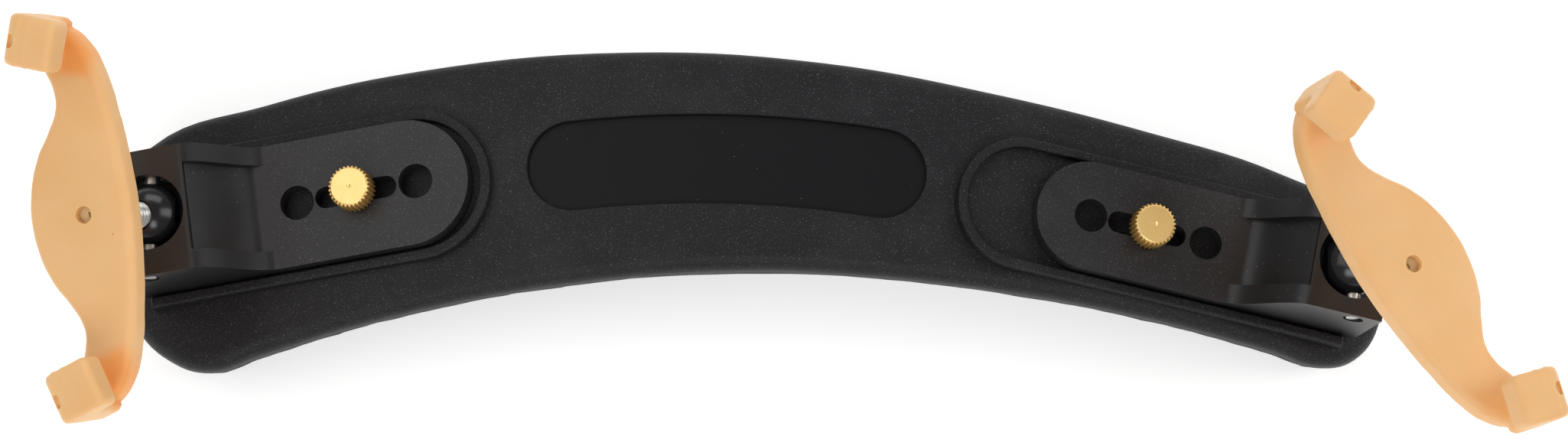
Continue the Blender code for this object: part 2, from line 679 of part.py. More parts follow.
def make_rubber(side, stud, fork, rubber):
    name = f"foot_rubber_{side.name}"
    outline = mirrored_outline(FORK_INNER_MIDDLE, FORK_HALF_OUTLINE, FORK_OUTER_MIDDLE)
    mesh = outline_mesh(name, outline, -RUBBER_THICKNESS, 0.0, curved=True, steps=2)
    round_rim(mesh, 0.0, RUBBER_ROUND, 2)
    round_rim(mesh, -RUBBER_THICKNESS, RUBBER_ROUND, 2)
    cover = add_object(name, mesh, PARTS, fork, rubber)
    for end in (1, -1):
        label = f"claw_{side.name}_{'rear' if end > 0 else 'front'}"
        claw = outline_mesh(label, claw_profile(), -CLAW_WIDTH / 2, CLAW_WIDTH / 2)
        round_rim(claw, CLAW_WIDTH / 2, CLAW_ROUND, 1)
        round_rim(claw, -CLAW_WIDTH / 2, CLAW_ROUND, 1)
        claw.transform(Matrix.Rotation(math.radians(90), 4, "X"))
        claw.transform(claw_matrix(end))
        combine(cover, "UNION", add_object(label, claw, CUTTERS, fork))
    core = shrink(mirrored_outline(STRIP_INNER_MIDDLE, STRIP_HALF_OUTLINE, STRIP_OUTER_MIDDLE),
                  -GAP)
    cavity = add_object(f"strip_cavity_{side.name}",
                        outline_mesh("strip_cavity", core, FRAME_BOTTOM_Z - GAP,
                                     FRAME_TOP_Z + GAP, curved=True, steps=2),
                        CUTTERS, fork)
    cut(cover, cavity)
    for end in (1, -1):
        bm = bmesh.new()
        bmesh.ops.create_cube(bm, size=1.0)
        height = TAB_TOP_Z - FRAME_BOTTOM_Z + 2 * GAP
        bmesh.ops.scale(bm, verts=bm.verts,
                        vec=(TAB_THICKNESS + 2 * GAP, TAB_WIDTH + 2 * GAP, height))
        bmesh.ops.translate(bm, verts=bm.verts, vec=(TAB_U, 0.0, TAB_TOP_Z + GAP - height / 2))
        bmesh.ops.transform(bm, verts=bm.verts, matrix=claw_matrix(end))
        label = f"tab_cavity_{side.name}_{'rear' if end > 0 else 'front'}"
        cut(cover, add_object(label, mesh_from(label, bm), CUTTERS, fork))
    dimple = cylinder_mesh(f"dimple_{side.name}", DIMPLE_RADIUS, FRAME_TOP_Z, RUBBER_THICKNESS)
    collar = cylinder_mesh(f"stud_collar_{side.name}", STUD_RADIUS + GAP,
                           FOOT_HEIGHT - 2 * RUBBER_THICKNESS, FOOT_HEIGHT + FRAME_TOP_Z)
    cut(cover, add_object(dimple.name, dimple, CUTTERS, fork),
        add_object(collar.name, collar, CUTTERS, stud))
    smooth(cover)


# ---------------------------------------------------------------- the whole rest
def main():
    clear_scene()
    make_collection(PARTS)
    make_collection(CUTTERS)
    base_plastic = make_material("base plastic", (0.026, 0.025, 0.029), 0.48)
    bracket_plastic = make_material("bracket plastic", (0.028, 0.027, 0.030), 0.42)
    ball_plastic = make_material("ball plastic", (0.012, 0.012, 0.014), 0.15)
    foam = make_material("foam", (0.03, 0.03, 0.032), 0.95)
    adhesive = make_material("adhesive", (0.75, 0.72, 0.62), 0.5)
    brass = make_material("brass", (0.80, 0.58, 0.25), 0.28, 1.0)
    steel = make_material("steel", (0.60, 0.59, 0.57), 0.32, 1.0)
    rubber = make_material("rubber", (0.84, 0.52, 0.24), 0.5)

    root = add_empty(f"{PARTS}_origin", None, Matrix.Translation(FRAME_SHIFT))
    tracks = {side.name: add_empty(f"track_{side.name}", root, track_matrix(side))
              for side in SIDES}
    make_base(root, tracks, base_plastic)
    make_pad(root, adhesive, foam)
    for side in SIDES:
        track = tracks[side.name]
        fold_matrix, cant_matrix = post_matrices(side)
        post = add_empty(f"post_{side.name}", root, fold_matrix)
        stud = add_empty(f"stud_axis_{side.name}", post, cant_matrix)
        fork = add_empty(f"fork_{side.name}", stud, fork_matrix(side))
        make_bracket(side, track, post, bracket_plastic)
        make_thumb_screw(side, track, brass)
        make_insert(side, track, brass)
        make_knuckle(side, post, stud, ball_plastic)
        make_pins(side, post, steel)
        make_stud(side, stud, steel)
        make_strip(side, stud, fork, steel)
        make_rubber(side, stud, fork, rubber)
    bpy.context.view_layer.update()


main()
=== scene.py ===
"""Violin shoulder rest: finished pieces and finishes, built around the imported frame.

Every piece is modelled in its own frame (a track's, a post's or a fork's), and its mesh is then
placed, so each finished object sits at the origin, unturned.  Sizes are in metres.
"""

import json
import logging
import math
from dataclasses import dataclass, field
from enum import Enum
from typing import Iterable, Sequence

import bmesh
import bpy
from mathutils import Matrix, Vector, noise
from mathutils.geometry import interpolate_bezier


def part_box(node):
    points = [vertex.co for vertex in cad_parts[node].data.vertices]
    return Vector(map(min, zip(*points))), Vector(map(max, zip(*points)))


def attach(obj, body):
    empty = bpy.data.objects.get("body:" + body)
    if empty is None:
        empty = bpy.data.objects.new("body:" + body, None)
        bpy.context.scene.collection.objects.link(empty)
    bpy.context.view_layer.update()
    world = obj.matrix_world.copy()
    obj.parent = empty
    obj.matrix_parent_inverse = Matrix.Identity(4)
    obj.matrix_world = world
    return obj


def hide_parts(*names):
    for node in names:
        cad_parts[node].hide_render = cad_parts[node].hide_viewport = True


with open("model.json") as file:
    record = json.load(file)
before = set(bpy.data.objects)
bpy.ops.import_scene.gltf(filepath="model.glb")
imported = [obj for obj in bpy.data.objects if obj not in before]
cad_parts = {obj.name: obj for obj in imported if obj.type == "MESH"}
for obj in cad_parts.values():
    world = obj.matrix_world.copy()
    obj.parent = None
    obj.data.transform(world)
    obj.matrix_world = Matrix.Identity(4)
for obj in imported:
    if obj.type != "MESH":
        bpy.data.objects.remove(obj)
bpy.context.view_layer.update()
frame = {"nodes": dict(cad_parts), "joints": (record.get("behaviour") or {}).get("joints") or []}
LOG = logging.getLogger("shoulder_rest")

MM = 0.001
GAP = 0.3 * MM

Point = tuple[float, float]
Colour = tuple[float, float, float]


# ---------------------------------------------------------------- outlines in plan
AUTO_HANDLE = 2.5614                # the ratio that gives a smooth curve its handle lengths


def smooth_outline(points: Sequence[Point], steps: int) -> list[Point]:
    """Draws a closed smooth curve through plan points.

    Args:
        points: The points that the curve passes, in order.
        steps: How many straight pieces stand for each stretch between two points.

    Returns:
        The points of the curve, without a repeated last one.
    """
    knots = [Vector(point) for point in points]
    handles = []
    for i, here in enumerate(knots):
        before = here - knots[i - 1]
        after = knots[(i + 1) % len(knots)] - here
        tangent = before.normalized() + after.normalized()
        reach = AUTO_HANDLE * tangent.length
        handles.append((here - tangent * (before.length / reach),
                        here + tangent * (after.length / reach)))
    line: list[Point] = []
    for i, here in enumerate(knots):
        j = (i + 1) % len(knots)
        curve = interpolate_bezier(here, handles[i][1], handles[j][0], knots[j], steps + 1)
        line += [(point.x, point.y) for point in curve[:-1]]
    return line


def shrink(points: Sequence[Point], inset: float) -> list[Point]:
    """Moves every point of a smooth outline inwards by an inset."""
    count = len(points)
    area = sum(points[i - 1][0] * points[i][1] - points[i][0] * points[i - 1][1]
               for i in range(count))
    turn = math.copysign(1.0, area)
    inner = []
    for i, (x, y) in enumerate(points):
        before, after = points[i - 1], points[(i + 1) % count]
        along = Vector((after[0] - before[0], after[1] - before[1])).normalized()
        inner.append((x - turn * along.y * inset, y + turn * along.x * inset))
    return inner


def arc(centre: Point, radius: float, start: float, end: float, count: int) -> list[Point]:
    """Gives points on an arc, angles in degrees, both ends included."""
    angles = [math.radians(start + (end - start) * i / count) for i in range(count + 1)]
    return [(centre[0] + radius * math.cos(a), centre[1] + radius * math.sin(a)) for a in angles]


def stadium(start: float, end: float, half_width: float, count: int = 16) -> list[Point]:
    """Gives a round-ended bar along X between two tips."""
    return (arc((end - half_width, 0.0), half_width, -90, 90, count)
            + arc((start + half_width, 0.0), half_width, 90, 270, count))


def tongue(start: float, end: float, half_width: float, count: int = 36) -> list[Point]:
    """Gives a bar along X with a round inner end and a square outer end."""
    return (arc((start + half_width, 0.0), half_width, 90, 270, count)
            + [(end, -half_width), (end, half_width)])


def in_metres(points: Iterable[Point]) -> list[Point]:
    """Turns plan points from millimetres into metres."""
    return [(x * MM, y * MM) for x, y in points]


# ---------------------------------------------------------------- solids
def grow(bm: bmesh.types.BMesh, faces: list, height: float, spread: float = 0.0) -> list:
    """Extrudes a flat cap upwards and moves its rim outwards.

    Args:
        bm: The mesh.
        faces: The cap's faces.
        height: How far the cap rises.
        spread: How far its rim moves out, negative to move in.

    Returns:
        The new cap's faces.
    """
    walled = [face for face in faces if not any(edge.is_boundary for edge in face.edges)]
    grown = bmesh.ops.extrude_face_region(bm, geom=faces)["geom"]
    bmesh.ops.delete(bm, geom=walled, context="FACES_ONLY")
    verts = [item for item in grown if isinstance(item, bmesh.types.BMVert)]
    caps = [item for item in grown if isinstance(item, bmesh.types.BMFace)]
    if spread:
        rim = [loop.vert for loop in caps[0].loops]
        outer = shrink([(vert.co.x, vert.co.y) for vert in rim], -spread)
        for vert, (x, y) in zip(rim, outer):
            vert.co.x, vert.co.y = x, y
    bmesh.ops.translate(bm, verts=verts, vec=(0.0, 0.0, height))
    return caps


def prism(points: Sequence[Point], low: float, high: float) -> bmesh.types.BMesh:
    """Raises a flat outline from one height to another as a closed solid."""
    bm = bmesh.new()
    face = bm.faces.new([bm.verts.new((x, y, low)) for x, y in points])
    grow(bm, [face], high - low)
    bmesh.ops.recalc_face_normals(bm, faces=bm.faces)
    return bm


def flared(points: Sequence[Point], low: float, lip: float, high: float,
           flare: float, steps: int = 4) -> bmesh.types.BMesh:
    """Makes a cutter whose mouth opens in a quarter round at a lip.

    Args:
        points: The cutter's outline below the lip.
        low: The bottom's height.
        lip: The height of the surface that the cutter breaks.
        high: The cutter's top.
        flare: The radius of the rounded lip.
        steps: How many rings the round has.

    Returns:
        The closed cutter.
    """
    bm = bmesh.new()
    cap = [bm.faces.new([bm.verts.new((x, y, low)) for x, y in points])]
    cap = grow(bm, cap, lip - flare - low)
    for i in range(steps):
        here, there = math.pi / 2 * i / steps, math.pi / 2 * (i + 1) / steps
        cap = grow(bm, cap, flare * (math.sin(there) - math.sin(here)),
                   flare * (math.cos(here) - math.cos(there)))
    grow(bm, cap, high - lip)
    bmesh.ops.recalc_face_normals(bm, faces=bm.faces)
    return bm


def round_rim(bm: bmesh.types.BMesh, z: float, width: float, segments: int) -> None:
    """Rounds the edge where an upright wall meets the flat cap at a height."""
    rim = [edge for edge in bm.edges
           if all(abs(vert.co.z - z) < 0.01 * MM for vert in edge.verts)
           and len(edge.link_faces) == 2 and edge.calc_face_angle() > math.radians(50.0)]
    bmesh.ops.bevel(bm, geom=rim, offset=width, segments=segments, profile=0.5,
                    affect="EDGES", clamp_overlap=True, material=-1)


def round_corners(bm: bmesh.types.BMesh, width: float, segments: int, angle: float) -> None:
    """Rounds every edge that is sharper than an angle in degrees."""
    sharp = [edge for edge in bm.edges if len(edge.link_faces) == 2
             and edge.calc_face_angle() > math.radians(angle)]
    bmesh.ops.bevel(bm, geom=sharp, offset=width, segments=segments, profile=0.5,
                    affect="EDGES", clamp_overlap=True, material=-1)


def rod(radius: float, low: float, high: float, segments: int = 48,
        top: float | None = None) -> bmesh.types.BMesh:
    """Makes an upright round bar, with another radius at its top if one is given."""
    bm = bmesh.new()
    bmesh.ops.create_cone(bm, cap_ends=True, segments=segments, radius1=radius,
                          radius2=radius if top is None else top, depth=high - low)
    bmesh.ops.translate(bm, verts=bm.verts, vec=(0.0, 0.0, (low + high) / 2))
    return bm


def moved(bm: bmesh.types.BMesh, matrix: Matrix) -> bmesh.types.BMesh:
    """Places a mesh by a matrix and hands it back."""
    bmesh.ops.transform(bm, matrix=matrix, verts=bm.verts)
    return bm


def new_object(name: str, bm: bmesh.types.BMesh,
               material: bpy.types.Material | None = None) -> bpy.types.Object:
    """Turns a bmesh into an object in the scene and frees it."""
    mesh = bpy.data.meshes.new(name)
    bm.to_mesh(mesh)
    bm.free()
    if material:
        mesh.materials.append(material)
    obj = bpy.data.objects.new(name, mesh)
    bpy.context.scene.collection.objects.link(obj)
    return obj


class Join(Enum):
    """How a tool changes the solid that it meets."""

    ADD = "UNION"
    REMOVE = "DIFFERENCE"
    KEEP = "INTERSECT"


def settle(obj: bpy.types.Object) -> None:
    """Applies an object's modifiers to its own mesh."""
    bpy.context.view_layer.update()
    graph = bpy.context.evaluated_depsgraph_get()
    mesh = bpy.data.meshes.new_from_object(obj.evaluated_get(graph))
    old = obj.data
    obj.modifiers.clear()
    obj.data = mesh
    bpy.data.meshes.remove(old)
    mesh.name = obj.name


def carve(obj: bpy.types.Object, steps: Sequence[tuple[Join, bmesh.types.BMesh]],
          finish: bpy.types.Material | None = None) -> None:
    """Adds, removes or keeps tools in order, then applies the result.

    Args:
        obj: The solid that is changed.
        steps: Pairs of a way and a tool.
        finish: The material of the walls that the tools leave, the solid's own if none.
    """
    tools = []
    for number, (way, bm) in enumerate(steps):
        tool = new_object(f"{obj.name}_tool_{number}", bm, finish or obj.data.materials[0])
        modifier = obj.modifiers.new(tool.name, "BOOLEAN")
        modifier.operation = way.value
        modifier.object = tool
        modifier.solver = "EXACT"
        modifier.material_mode = "TRANSFER"
        tools.append(tool)
    settle(obj)
    for tool in tools:
        mesh = tool.data
        bpy.data.objects.remove(tool, do_unlink=True)
        bpy.data.meshes.remove(mesh)


def edit(obj: bpy.types.Object) -> bmesh.types.BMesh:
    """Opens an object's mesh for bmesh work."""
    bm = bmesh.new()
    bm.from_mesh(obj.data)
    return bm


def put_back(obj: bpy.types.Object, bm: bmesh.types.BMesh) -> None:
    """Writes a bmesh back into its object and frees it."""
    bm.to_mesh(obj.data)
    bm.free()


def shade(obj: bpy.types.Object, angle: float = 32.0) -> None:
    """Shades an object smooth apart from edges sharper than an angle in degrees."""
    obj.data.shade_smooth()
    obj.data.set_sharp_from_angle(angle=math.radians(angle))
    weighting = obj.modifiers.new("even shading", "WEIGHTED_NORMAL")
    weighting.keep_sharp = True
    weighting.weight = 50
    settle(obj)


def install(obj: bpy.types.Object, body: str, slot: str, *nodes: str) -> None:
    """Makes a piece ride on a body and hides what it stands for."""
    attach(obj, body)
    if nodes:
        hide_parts(*nodes)
    LOG.info("%s rides on %s, %d faces", obj.name, body, len(obj.data.polygons))


# ---------------------------------------------------------------- shader writing
class Signal:
    """A shader socket that takes part in Python arithmetic."""

    def __init__(self, graph: "Graph", socket: bpy.types.NodeSocket) -> None:
        """Wraps a socket of a graph."""
        self.graph = graph
        self.socket = socket

    def _maths(self, operation: str, *values: "Signal | float") -> "Signal":
        """Adds one Math node and returns its value."""
        return self.graph.add("ShaderNodeMath", {"operation": operation}, dict(enumerate(values)))

    def __add__(self, other: "Signal | float") -> "Signal":
        """Adds."""
        return self._maths("ADD", self, other)

    __radd__ = __add__

    def __sub__(self, other: "Signal | float") -> "Signal":
        """Subtracts."""
        return self._maths("SUBTRACT", self, other)

    def __rsub__(self, other: "Signal | float") -> "Signal":
        """Subtracts this from a number."""
        return self._maths("SUBTRACT", other, self)

    def __mul__(self, other: "Signal | float") -> "Signal":
        """Multiplies."""
        return self._maths("MULTIPLY", self, other)

    def size(self) -> "Signal":
        """Gives the value without its sign."""
        return self._maths("ABSOLUTE", self)

    def root(self) -> "Signal":
        """Gives the square root."""
        return self._maths("SQRT", self)

    def ramp(self, low: float, high: float) -> "Signal":
        """Rises smoothly from 0 at low to 1 at high, or falls if high is the smaller."""
        return self.graph.add("ShaderNodeMapRange", {"interpolation_type": "SMOOTHSTEP"},
                              {"Value": self, "From Min": low, "From Max": high})


class Graph:
    """The node tree of one finish."""

    def __init__(self, name: str) -> None:
        """Starts a material that holds one Principled shader."""
        self.material = bpy.data.materials.new(name)
        self.material.use_nodes = True
        self.tree = self.material.node_tree
        self.shader = self.tree.nodes["Principled BSDF"]
        self.place = self.add("ShaderNodeTexCoord", output="Object")

    def add(self, kind: str, settings: dict | None = None, inputs: dict | None = None,
            output: int | str = 0) -> Signal:
        """Adds a node.

        Args:
            kind: The node's type.
            settings: Its options, set before its sockets.
            inputs: Values or signals for its sockets, by name or number.
            output: The socket that is handed back.

        Returns:
            The output as a signal.
        """
        node = self.tree.nodes.new(kind)
        for key, value in (settings or {}).items():
            setattr(node, key, value)
        for key, value in (inputs or {}).items():
            if isinstance(value, Signal):
                self.tree.links.new(value.socket, node.inputs[key])
            else:
                node.inputs[key].default_value = value
        return Signal(self, node.outputs[output])

    def along(self, origin: Vector, axis: Vector) -> Signal:
        """Measures how far a point lies from an origin along an axis."""
        dot = self.add("ShaderNodeVectorMath", {"operation": "DOT_PRODUCT"},
                       {0: self.place, 1: tuple(axis)}, "Value")
        return dot - origin.dot(axis)

    def local(self, place: Matrix) -> tuple[Signal, Signal, Signal]:
        """Gives a point's three coordinates in the frame of a placed piece."""
        origin = place.translation
        x, y, z = (self.along(origin, place.col[i].to_3d()) for i in range(3))
        return x, y, z

    def noise(self, size: float, detail: float = 3.0, roughness: float = 0.5) -> Signal:
        """Gives soft noise whose features have a size in metres."""
        return self.add("ShaderNodeTexNoise", {},
                        {"Vector": self.place, "Scale": 1.0 / size, "Detail": detail,
                         "Roughness": roughness})

    def stretched(self, scale: tuple[float, float, float]) -> Signal:
        """Gives the position scaled along the world's axes."""
        x, y, z = self.local(Matrix())
        return self.add("ShaderNodeCombineXYZ", {},
                        {"X": x * scale[0], "Y": y * scale[1], "Z": z * scale[2]})

    def specks(self, spacing: float, size: float) -> Signal:
        """Gives sparse round dots: 1 inside a dot and 0 outside."""
        cells = self.add("ShaderNodeTexVoronoi", {"feature": "F1"},
                         {"Vector": self.place, "Scale": 1.0 / spacing, "Randomness": 1.0},
                         "Distance")
        return cells.ramp(size / spacing, 0.6 * size / spacing)

    def blend(self, share: Signal | float, first: Colour | Signal,
              second: Colour | Signal) -> Signal:
        """Mixes two colours."""
        def full(colour: Colour | Signal) -> tuple | Signal:
            """Adds an opaque alpha to a plain colour."""
            return colour if isinstance(colour, Signal) else (*colour, 1.0)

        return self.add("ShaderNodeMix", {"data_type": "RGBA"},
                        {"Factor": share, "A": full(first), "B": full(second)}, "Result")

    def bump(self, height: Signal, distance: float, strength: float) -> Signal:
        """Turns a height signal into a surface normal."""
        return self.add("ShaderNodeBump", {},
                        {"Height": height, "Distance": distance, "Strength": strength})

    def finish(self, **sockets: "Signal | float | tuple") -> bpy.types.Material:
        """Sets or links the Principled sockets, words joined by underscores."""
        for key, value in sockets.items():
            socket = self.shader.inputs[key.replace("_", " ")]
            if isinstance(value, Signal):
                self.tree.links.new(value.socket, socket)
            else:
                socket.default_value = value
        return self.material


# ---------------------------------------------------------------- finishes
@dataclass(frozen=True)
class GrainedPlastic:
    """Black nylon from a spark-eroded mould: a fine even grain, with painted glints as bright
    specks of painted highlight.
    """

    name: str
    dark: Colour = (0.0085, 0.0078, 0.0092)
    light: Colour = (0.10, 0.095, 0.10)
    roughness: float = 0.55
    grain: float = 0.21 * MM
    depth: float = 0.035 * MM
    gloss: float = 0.24
    cloud: float = 9.0 * MM
    glint_spacing: float = 0.62 * MM
    glint_size: float = 0.062 * MM
    glint: Colour = (0.26, 0.25, 0.24)

    def grained(self, graph: Graph) -> tuple[Signal, Signal, Signal]:
        """Gives the grain's colour, height and roughness."""
        fine = graph.noise(self.grain, 2.0, 0.6)
        coarse = graph.noise(self.cloud, 3.0)
        speck = graph.noise(self.grain * 0.8, 1.0).ramp(0.60, 0.78)
        # painted highlight: sparse bright specks in the colour stand in for glints of the grain
        glint = graph.specks(self.glint_spacing, self.glint_size)
        colour = graph.blend(speck * 0.75, self.dark, self.light)
        bright = graph.blend(glint * 0.5, colour, self.glint)
        dusty = graph.blend(coarse.ramp(0.45, 0.8) * 0.08, bright, self.light)
        return dusty, fine, self.roughness + (coarse - 0.5) * 0.12

    def material(self) -> bpy.types.Material:
        """Builds the material."""
        graph = Graph(self.name)
        colour, height, rough = self.grained(graph)
        return graph.finish(Base_Color=colour, Roughness=rough, Specular_IOR_Level=self.gloss,
                            Normal=graph.bump(height, self.depth, 0.9))


@dataclass(frozen=True)
class BracketPlastic(GrainedPlastic):
    """Black nylon that is grained on the flat plate and smooth on the ramp and cradle."""

    place: Matrix = field(default_factory=Matrix)
    smooth_from: float = 11.8 * MM
    roughness: float = 0.43
    gloss: float = 0.42
    smooth_band: float = 1.8 * MM
    ragged: float = 2.2 * MM
    smooth_dark: Colour = (0.008, 0.0073, 0.0078)
    dust: Colour = (0.22, 0.21, 0.19)
    # painted light: a warm tint that stands in for light bounced off the peach rubber fork
    painted_bounce: Colour = (0.030, 0.021, 0.016)

    def material(self) -> bpy.types.Material:
        """Builds the material."""
        graph = Graph(self.name)
        x, _, z = graph.local(self.place)
        edge = x + (graph.noise(0.7 * MM, 4.0) - 0.5) * self.ragged
        smooth = edge.ramp(self.smooth_from - self.smooth_band,
                           self.smooth_from + self.smooth_band)
        colour, height, rough = self.grained(graph)
        dust = graph.specks(1.1 * MM, 0.075 * MM)
        plain = graph.blend(dust * 0.8, self.smooth_dark, self.dust)
        # painted light: near the cradle, under the rubber fork, the colour is tinted warm brown for
        # light bounced off the rubber
        cradle = z.ramp(9.0 * MM, 12.6 * MM) * x.ramp(19.0 * MM, 23.0 * MM)
        warm = graph.blend(cradle * 0.55, plain, self.painted_bounce)
        flow = graph.noise(2.2 * MM, 2.0)
        ripple = flow * 0.6 + graph.noise(0.3 * MM, 2.0) * 0.25
        relief = height * (1.0 - smooth) + ripple * smooth
        return graph.finish(Base_Color=graph.blend(smooth, colour, warm),
                            Roughness=rough - smooth * 0.05, Specular_IOR_Level=self.gloss,
                            Normal=graph.bump(relief, self.depth, 0.8))


@dataclass(frozen=True)
class PlaquePlastic:
    """The smoother, darker floor of the sunk plaque."""

    name: str = "plaque floor"
    colour: Colour = (0.005, 0.0045, 0.0056)
    dust: Colour = (0.16, 0.16, 0.16)

    def material(self) -> bpy.types.Material:
        """Builds the material."""
        graph = Graph(self.name)
        fine = graph.noise(0.45 * MM, 3.0)
        dust = graph.specks(1.6 * MM, 0.07 * MM)
        return graph.finish(Base_Color=graph.blend(dust, self.colour, self.dust),
                            Roughness=0.46 + fine * 0.1, Specular_IOR_Level=0.16,
                            Normal=graph.bump(fine, 0.012 * MM, 0.7))


@dataclass(frozen=True)
class GlossyPlastic:
    """Polished black plastic of the balls, with faint flow marks and dust."""

    name: str = "ball plastic"
    colour: Colour = (0.008, 0.008, 0.0095)
    dust: Colour = (0.2, 0.19, 0.17)

    def material(self) -> bpy.types.Material:
        """Builds the material."""
        graph = Graph(self.name)
        flow = graph.noise(1.6 * MM, 3.0, 0.6)
        dust = graph.specks(1.3 * MM, 0.06 * MM)
        return graph.finish(Base_Color=graph.blend(dust, self.colour, self.dust),
                            Roughness=0.16 + flow * 0.12, Specular_IOR_Level=0.5,
                            Normal=graph.bump(flow, 0.02 * MM, 0.5))


@dataclass(frozen=True)
class TurnedBrass:
    """Bright brass with lathe rings round the screw's axis and duller tooth flanks."""

    place: Matrix
    name: str = "turned brass"
    face_radius: float = 2.5 * MM
    ring_width: float = 0.085 * MM
    warm: Colour = (0.92, 0.61, 0.21)
    light: Colour = (0.96, 0.71, 0.33)
    flank: Colour = (0.80, 0.54, 0.20)
    stain: Colour = (0.42, 0.25, 0.08)
    shaded: Colour = (0.26, 0.15, 0.05)

    def material(self) -> bpy.types.Material:
        """Builds the material."""
        graph = Graph(self.name)
        x, y, z = graph.local(self.place)
        radius = (x * x + y * y).root()
        rings = graph.add("ShaderNodeTexNoise", {"noise_dimensions": "1D"},
                          {"W": radius, "Scale": 1.0 / self.ring_width, "Detail": 3.0})
        sweep = graph.noise(1.4 * MM, 2.0)
        side = radius.ramp(self.face_radius - 0.05 * MM, self.face_radius + 0.12 * MM)
        stain = graph.noise(0.5 * MM, 4.0, 0.6).ramp(0.5, 0.78)
        bright = graph.blend(sweep, self.warm, self.light)
        dull = graph.blend(stain, self.flank, self.stain)
        # painted shade: the knurled side darkens towards its foot, next to the bracket
        foot = z.ramp(4.4 * MM, 3.0 * MM)
        body = graph.blend(foot * 0.5, dull, self.shaded)
        return graph.finish(Base_Color=graph.blend(side, bright, body), Metallic=1.0,
                            Roughness=0.38 + side * 0.04 + rings * 0.12,
                            Normal=graph.bump(rings * (1.0 - side), 0.012 * MM, 0.75))


@dataclass(frozen=True)
class PlatedSteel:
    """Zinc-plated steel with scratches and a little grease."""

    name: str = "plated steel"
    scratches: tuple[float, float, float] = (5200.0, 900.0, 900.0)
    clean: Colour = (0.56, 0.55, 0.53)
    greasy: Colour = (0.30, 0.27, 0.22)

    def material(self) -> bpy.types.Material:
        """Builds the material."""
        graph = Graph(self.name)
        scratch = graph.add("ShaderNodeTexNoise", {},
                            {"Vector": graph.stretched(self.scratches),
                             "Scale": 1.0, "Detail": 4.0, "Roughness": 0.7})
        grime = graph.noise(0.9 * MM, 4.0).ramp(0.52, 0.75)
        return graph.finish(Base_Color=graph.blend(grime, self.clean, self.greasy),
                            Metallic=1.0, Roughness=0.24 + scratch * 0.25 + grime * 0.1,
                            Normal=graph.bump(scratch, 0.02 * MM, 0.7))


@dataclass(frozen=True)
class PeachRubber:
    """Translucent peach rubber, deeper orange where the claws shade it."""

    place: Matrix
    heads: tuple[Matrix, Matrix]
    glow: float
    name: str = "peach rubber"
    body: Colour = (0.78, 0.455, 0.19)
    pale: Colour = (0.80, 0.485, 0.22)
    deep: Colour = (0.86, 0.34, 0.075)
    speck: Colour = (0.20, 0.07, 0.02)

    def material(self) -> bpy.types.Material:
        """Builds the material."""
        graph = Graph(self.name)
        cloud = graph.noise(11.0 * MM, 2.0, 0.45)
        pale = graph.blend(cloud.ramp(0.35, 0.7), self.body, self.pale)
        _, _, z = graph.local(self.place)
        shade: Signal | None = None
        for head in self.heads:
            u, v, _ = graph.local(head)
            near = (u.ramp(-6.2 * MM, -3.4 * MM) * v.size().ramp(4.6 * MM, 2.6 * MM)
                    * u.ramp(0.6 * MM, -0.4 * MM))
            shade = near if shade is None else shade + near
        low = z.ramp(1.6 * MM, 0.1 * MM)
        tinted = graph.blend(shade * low * self.glow, pale, self.deep)
        speck = graph.specks(4.3 * MM, 0.11 * MM)
        fine = graph.noise(0.6 * MM, 3.0, 0.6)
        wave = graph.noise(3.2 * MM, 2.0)
        return graph.finish(Base_Color=graph.blend(speck * 0.85, tinted, self.speck),
                            Roughness=0.42 + fine * 0.14, Specular_IOR_Level=0.42,
                            Subsurface_Weight=0.42, Subsurface_Scale=0.0021,
                            Subsurface_Radius=(1.0, 0.46, 0.17),
                            Normal=graph.bump(fine * 0.25 + wave, 0.05 * MM, 0.5))


@dataclass(frozen=True)
class ClosedFoam:
    """Black closed-cell foam, skinned but pitted along its cut sides."""

    name: str = "closed foam"
    cell: float = 0.34 * MM
    dark: Colour = (0.016, 0.0155, 0.0165)
    light: Colour = (0.13, 0.125, 0.12)

    def material(self) -> bpy.types.Material:
        """Builds the material."""
        graph = Graph(self.name)
        cells = graph.add("ShaderNodeTexVoronoi", {"feature": "F1"},
                          {"Vector": graph.place, "Scale": 1.0 / self.cell}, "Distance")
        grit = graph.noise(0.16 * MM, 3.0, 0.7)
        pits = cells.ramp(0.1, 0.75)
        colour = graph.blend(pits * grit, self.dark, self.light)
        return graph.finish(Base_Color=colour, Roughness=0.93, Specular_IOR_Level=0.25,
                            Normal=graph.bump(pits + grit * 0.6, 0.09 * MM, 0.9))


@dataclass(frozen=True)
class AdhesiveSheet:
    """A thin cream adhesive sheet with a fibrous carrier."""

    name: str = "adhesive sheet"
    thread: Colour = (0.70, 0.66, 0.55)
    glue: Colour = (0.80, 0.77, 0.68)

    def material(self) -> bpy.types.Material:
        """Builds the material."""
        graph = Graph(self.name)
        fibre = graph.noise(0.5 * MM, 4.0, 0.7)
        return graph.finish(Base_Color=graph.blend(fibre, self.thread, self.glue),
                            Roughness=0.5 + fibre * 0.1,
                            Normal=graph.bump(fibre, 0.03 * MM, 0.5))


@dataclass(frozen=True)
class PaleFloor:
    """The plain white studio surface."""

    name: str = "pale floor"

    def material(self) -> bpy.types.Material:
        """Builds the material."""
        graph = Graph(self.name)
        return graph.finish(Base_Color=(0.93, 0.93, 0.93, 1.0), Roughness=0.9,
                            Specular_IOR_Level=0.1, Emission_Color=(1.0, 1.0, 1.0, 1.0),
                            Emission_Strength=0.36)


# ---------------------------------------------------------------- the two sides
JOINTS = {joint["name"]: joint for joint in frame["joints"]}


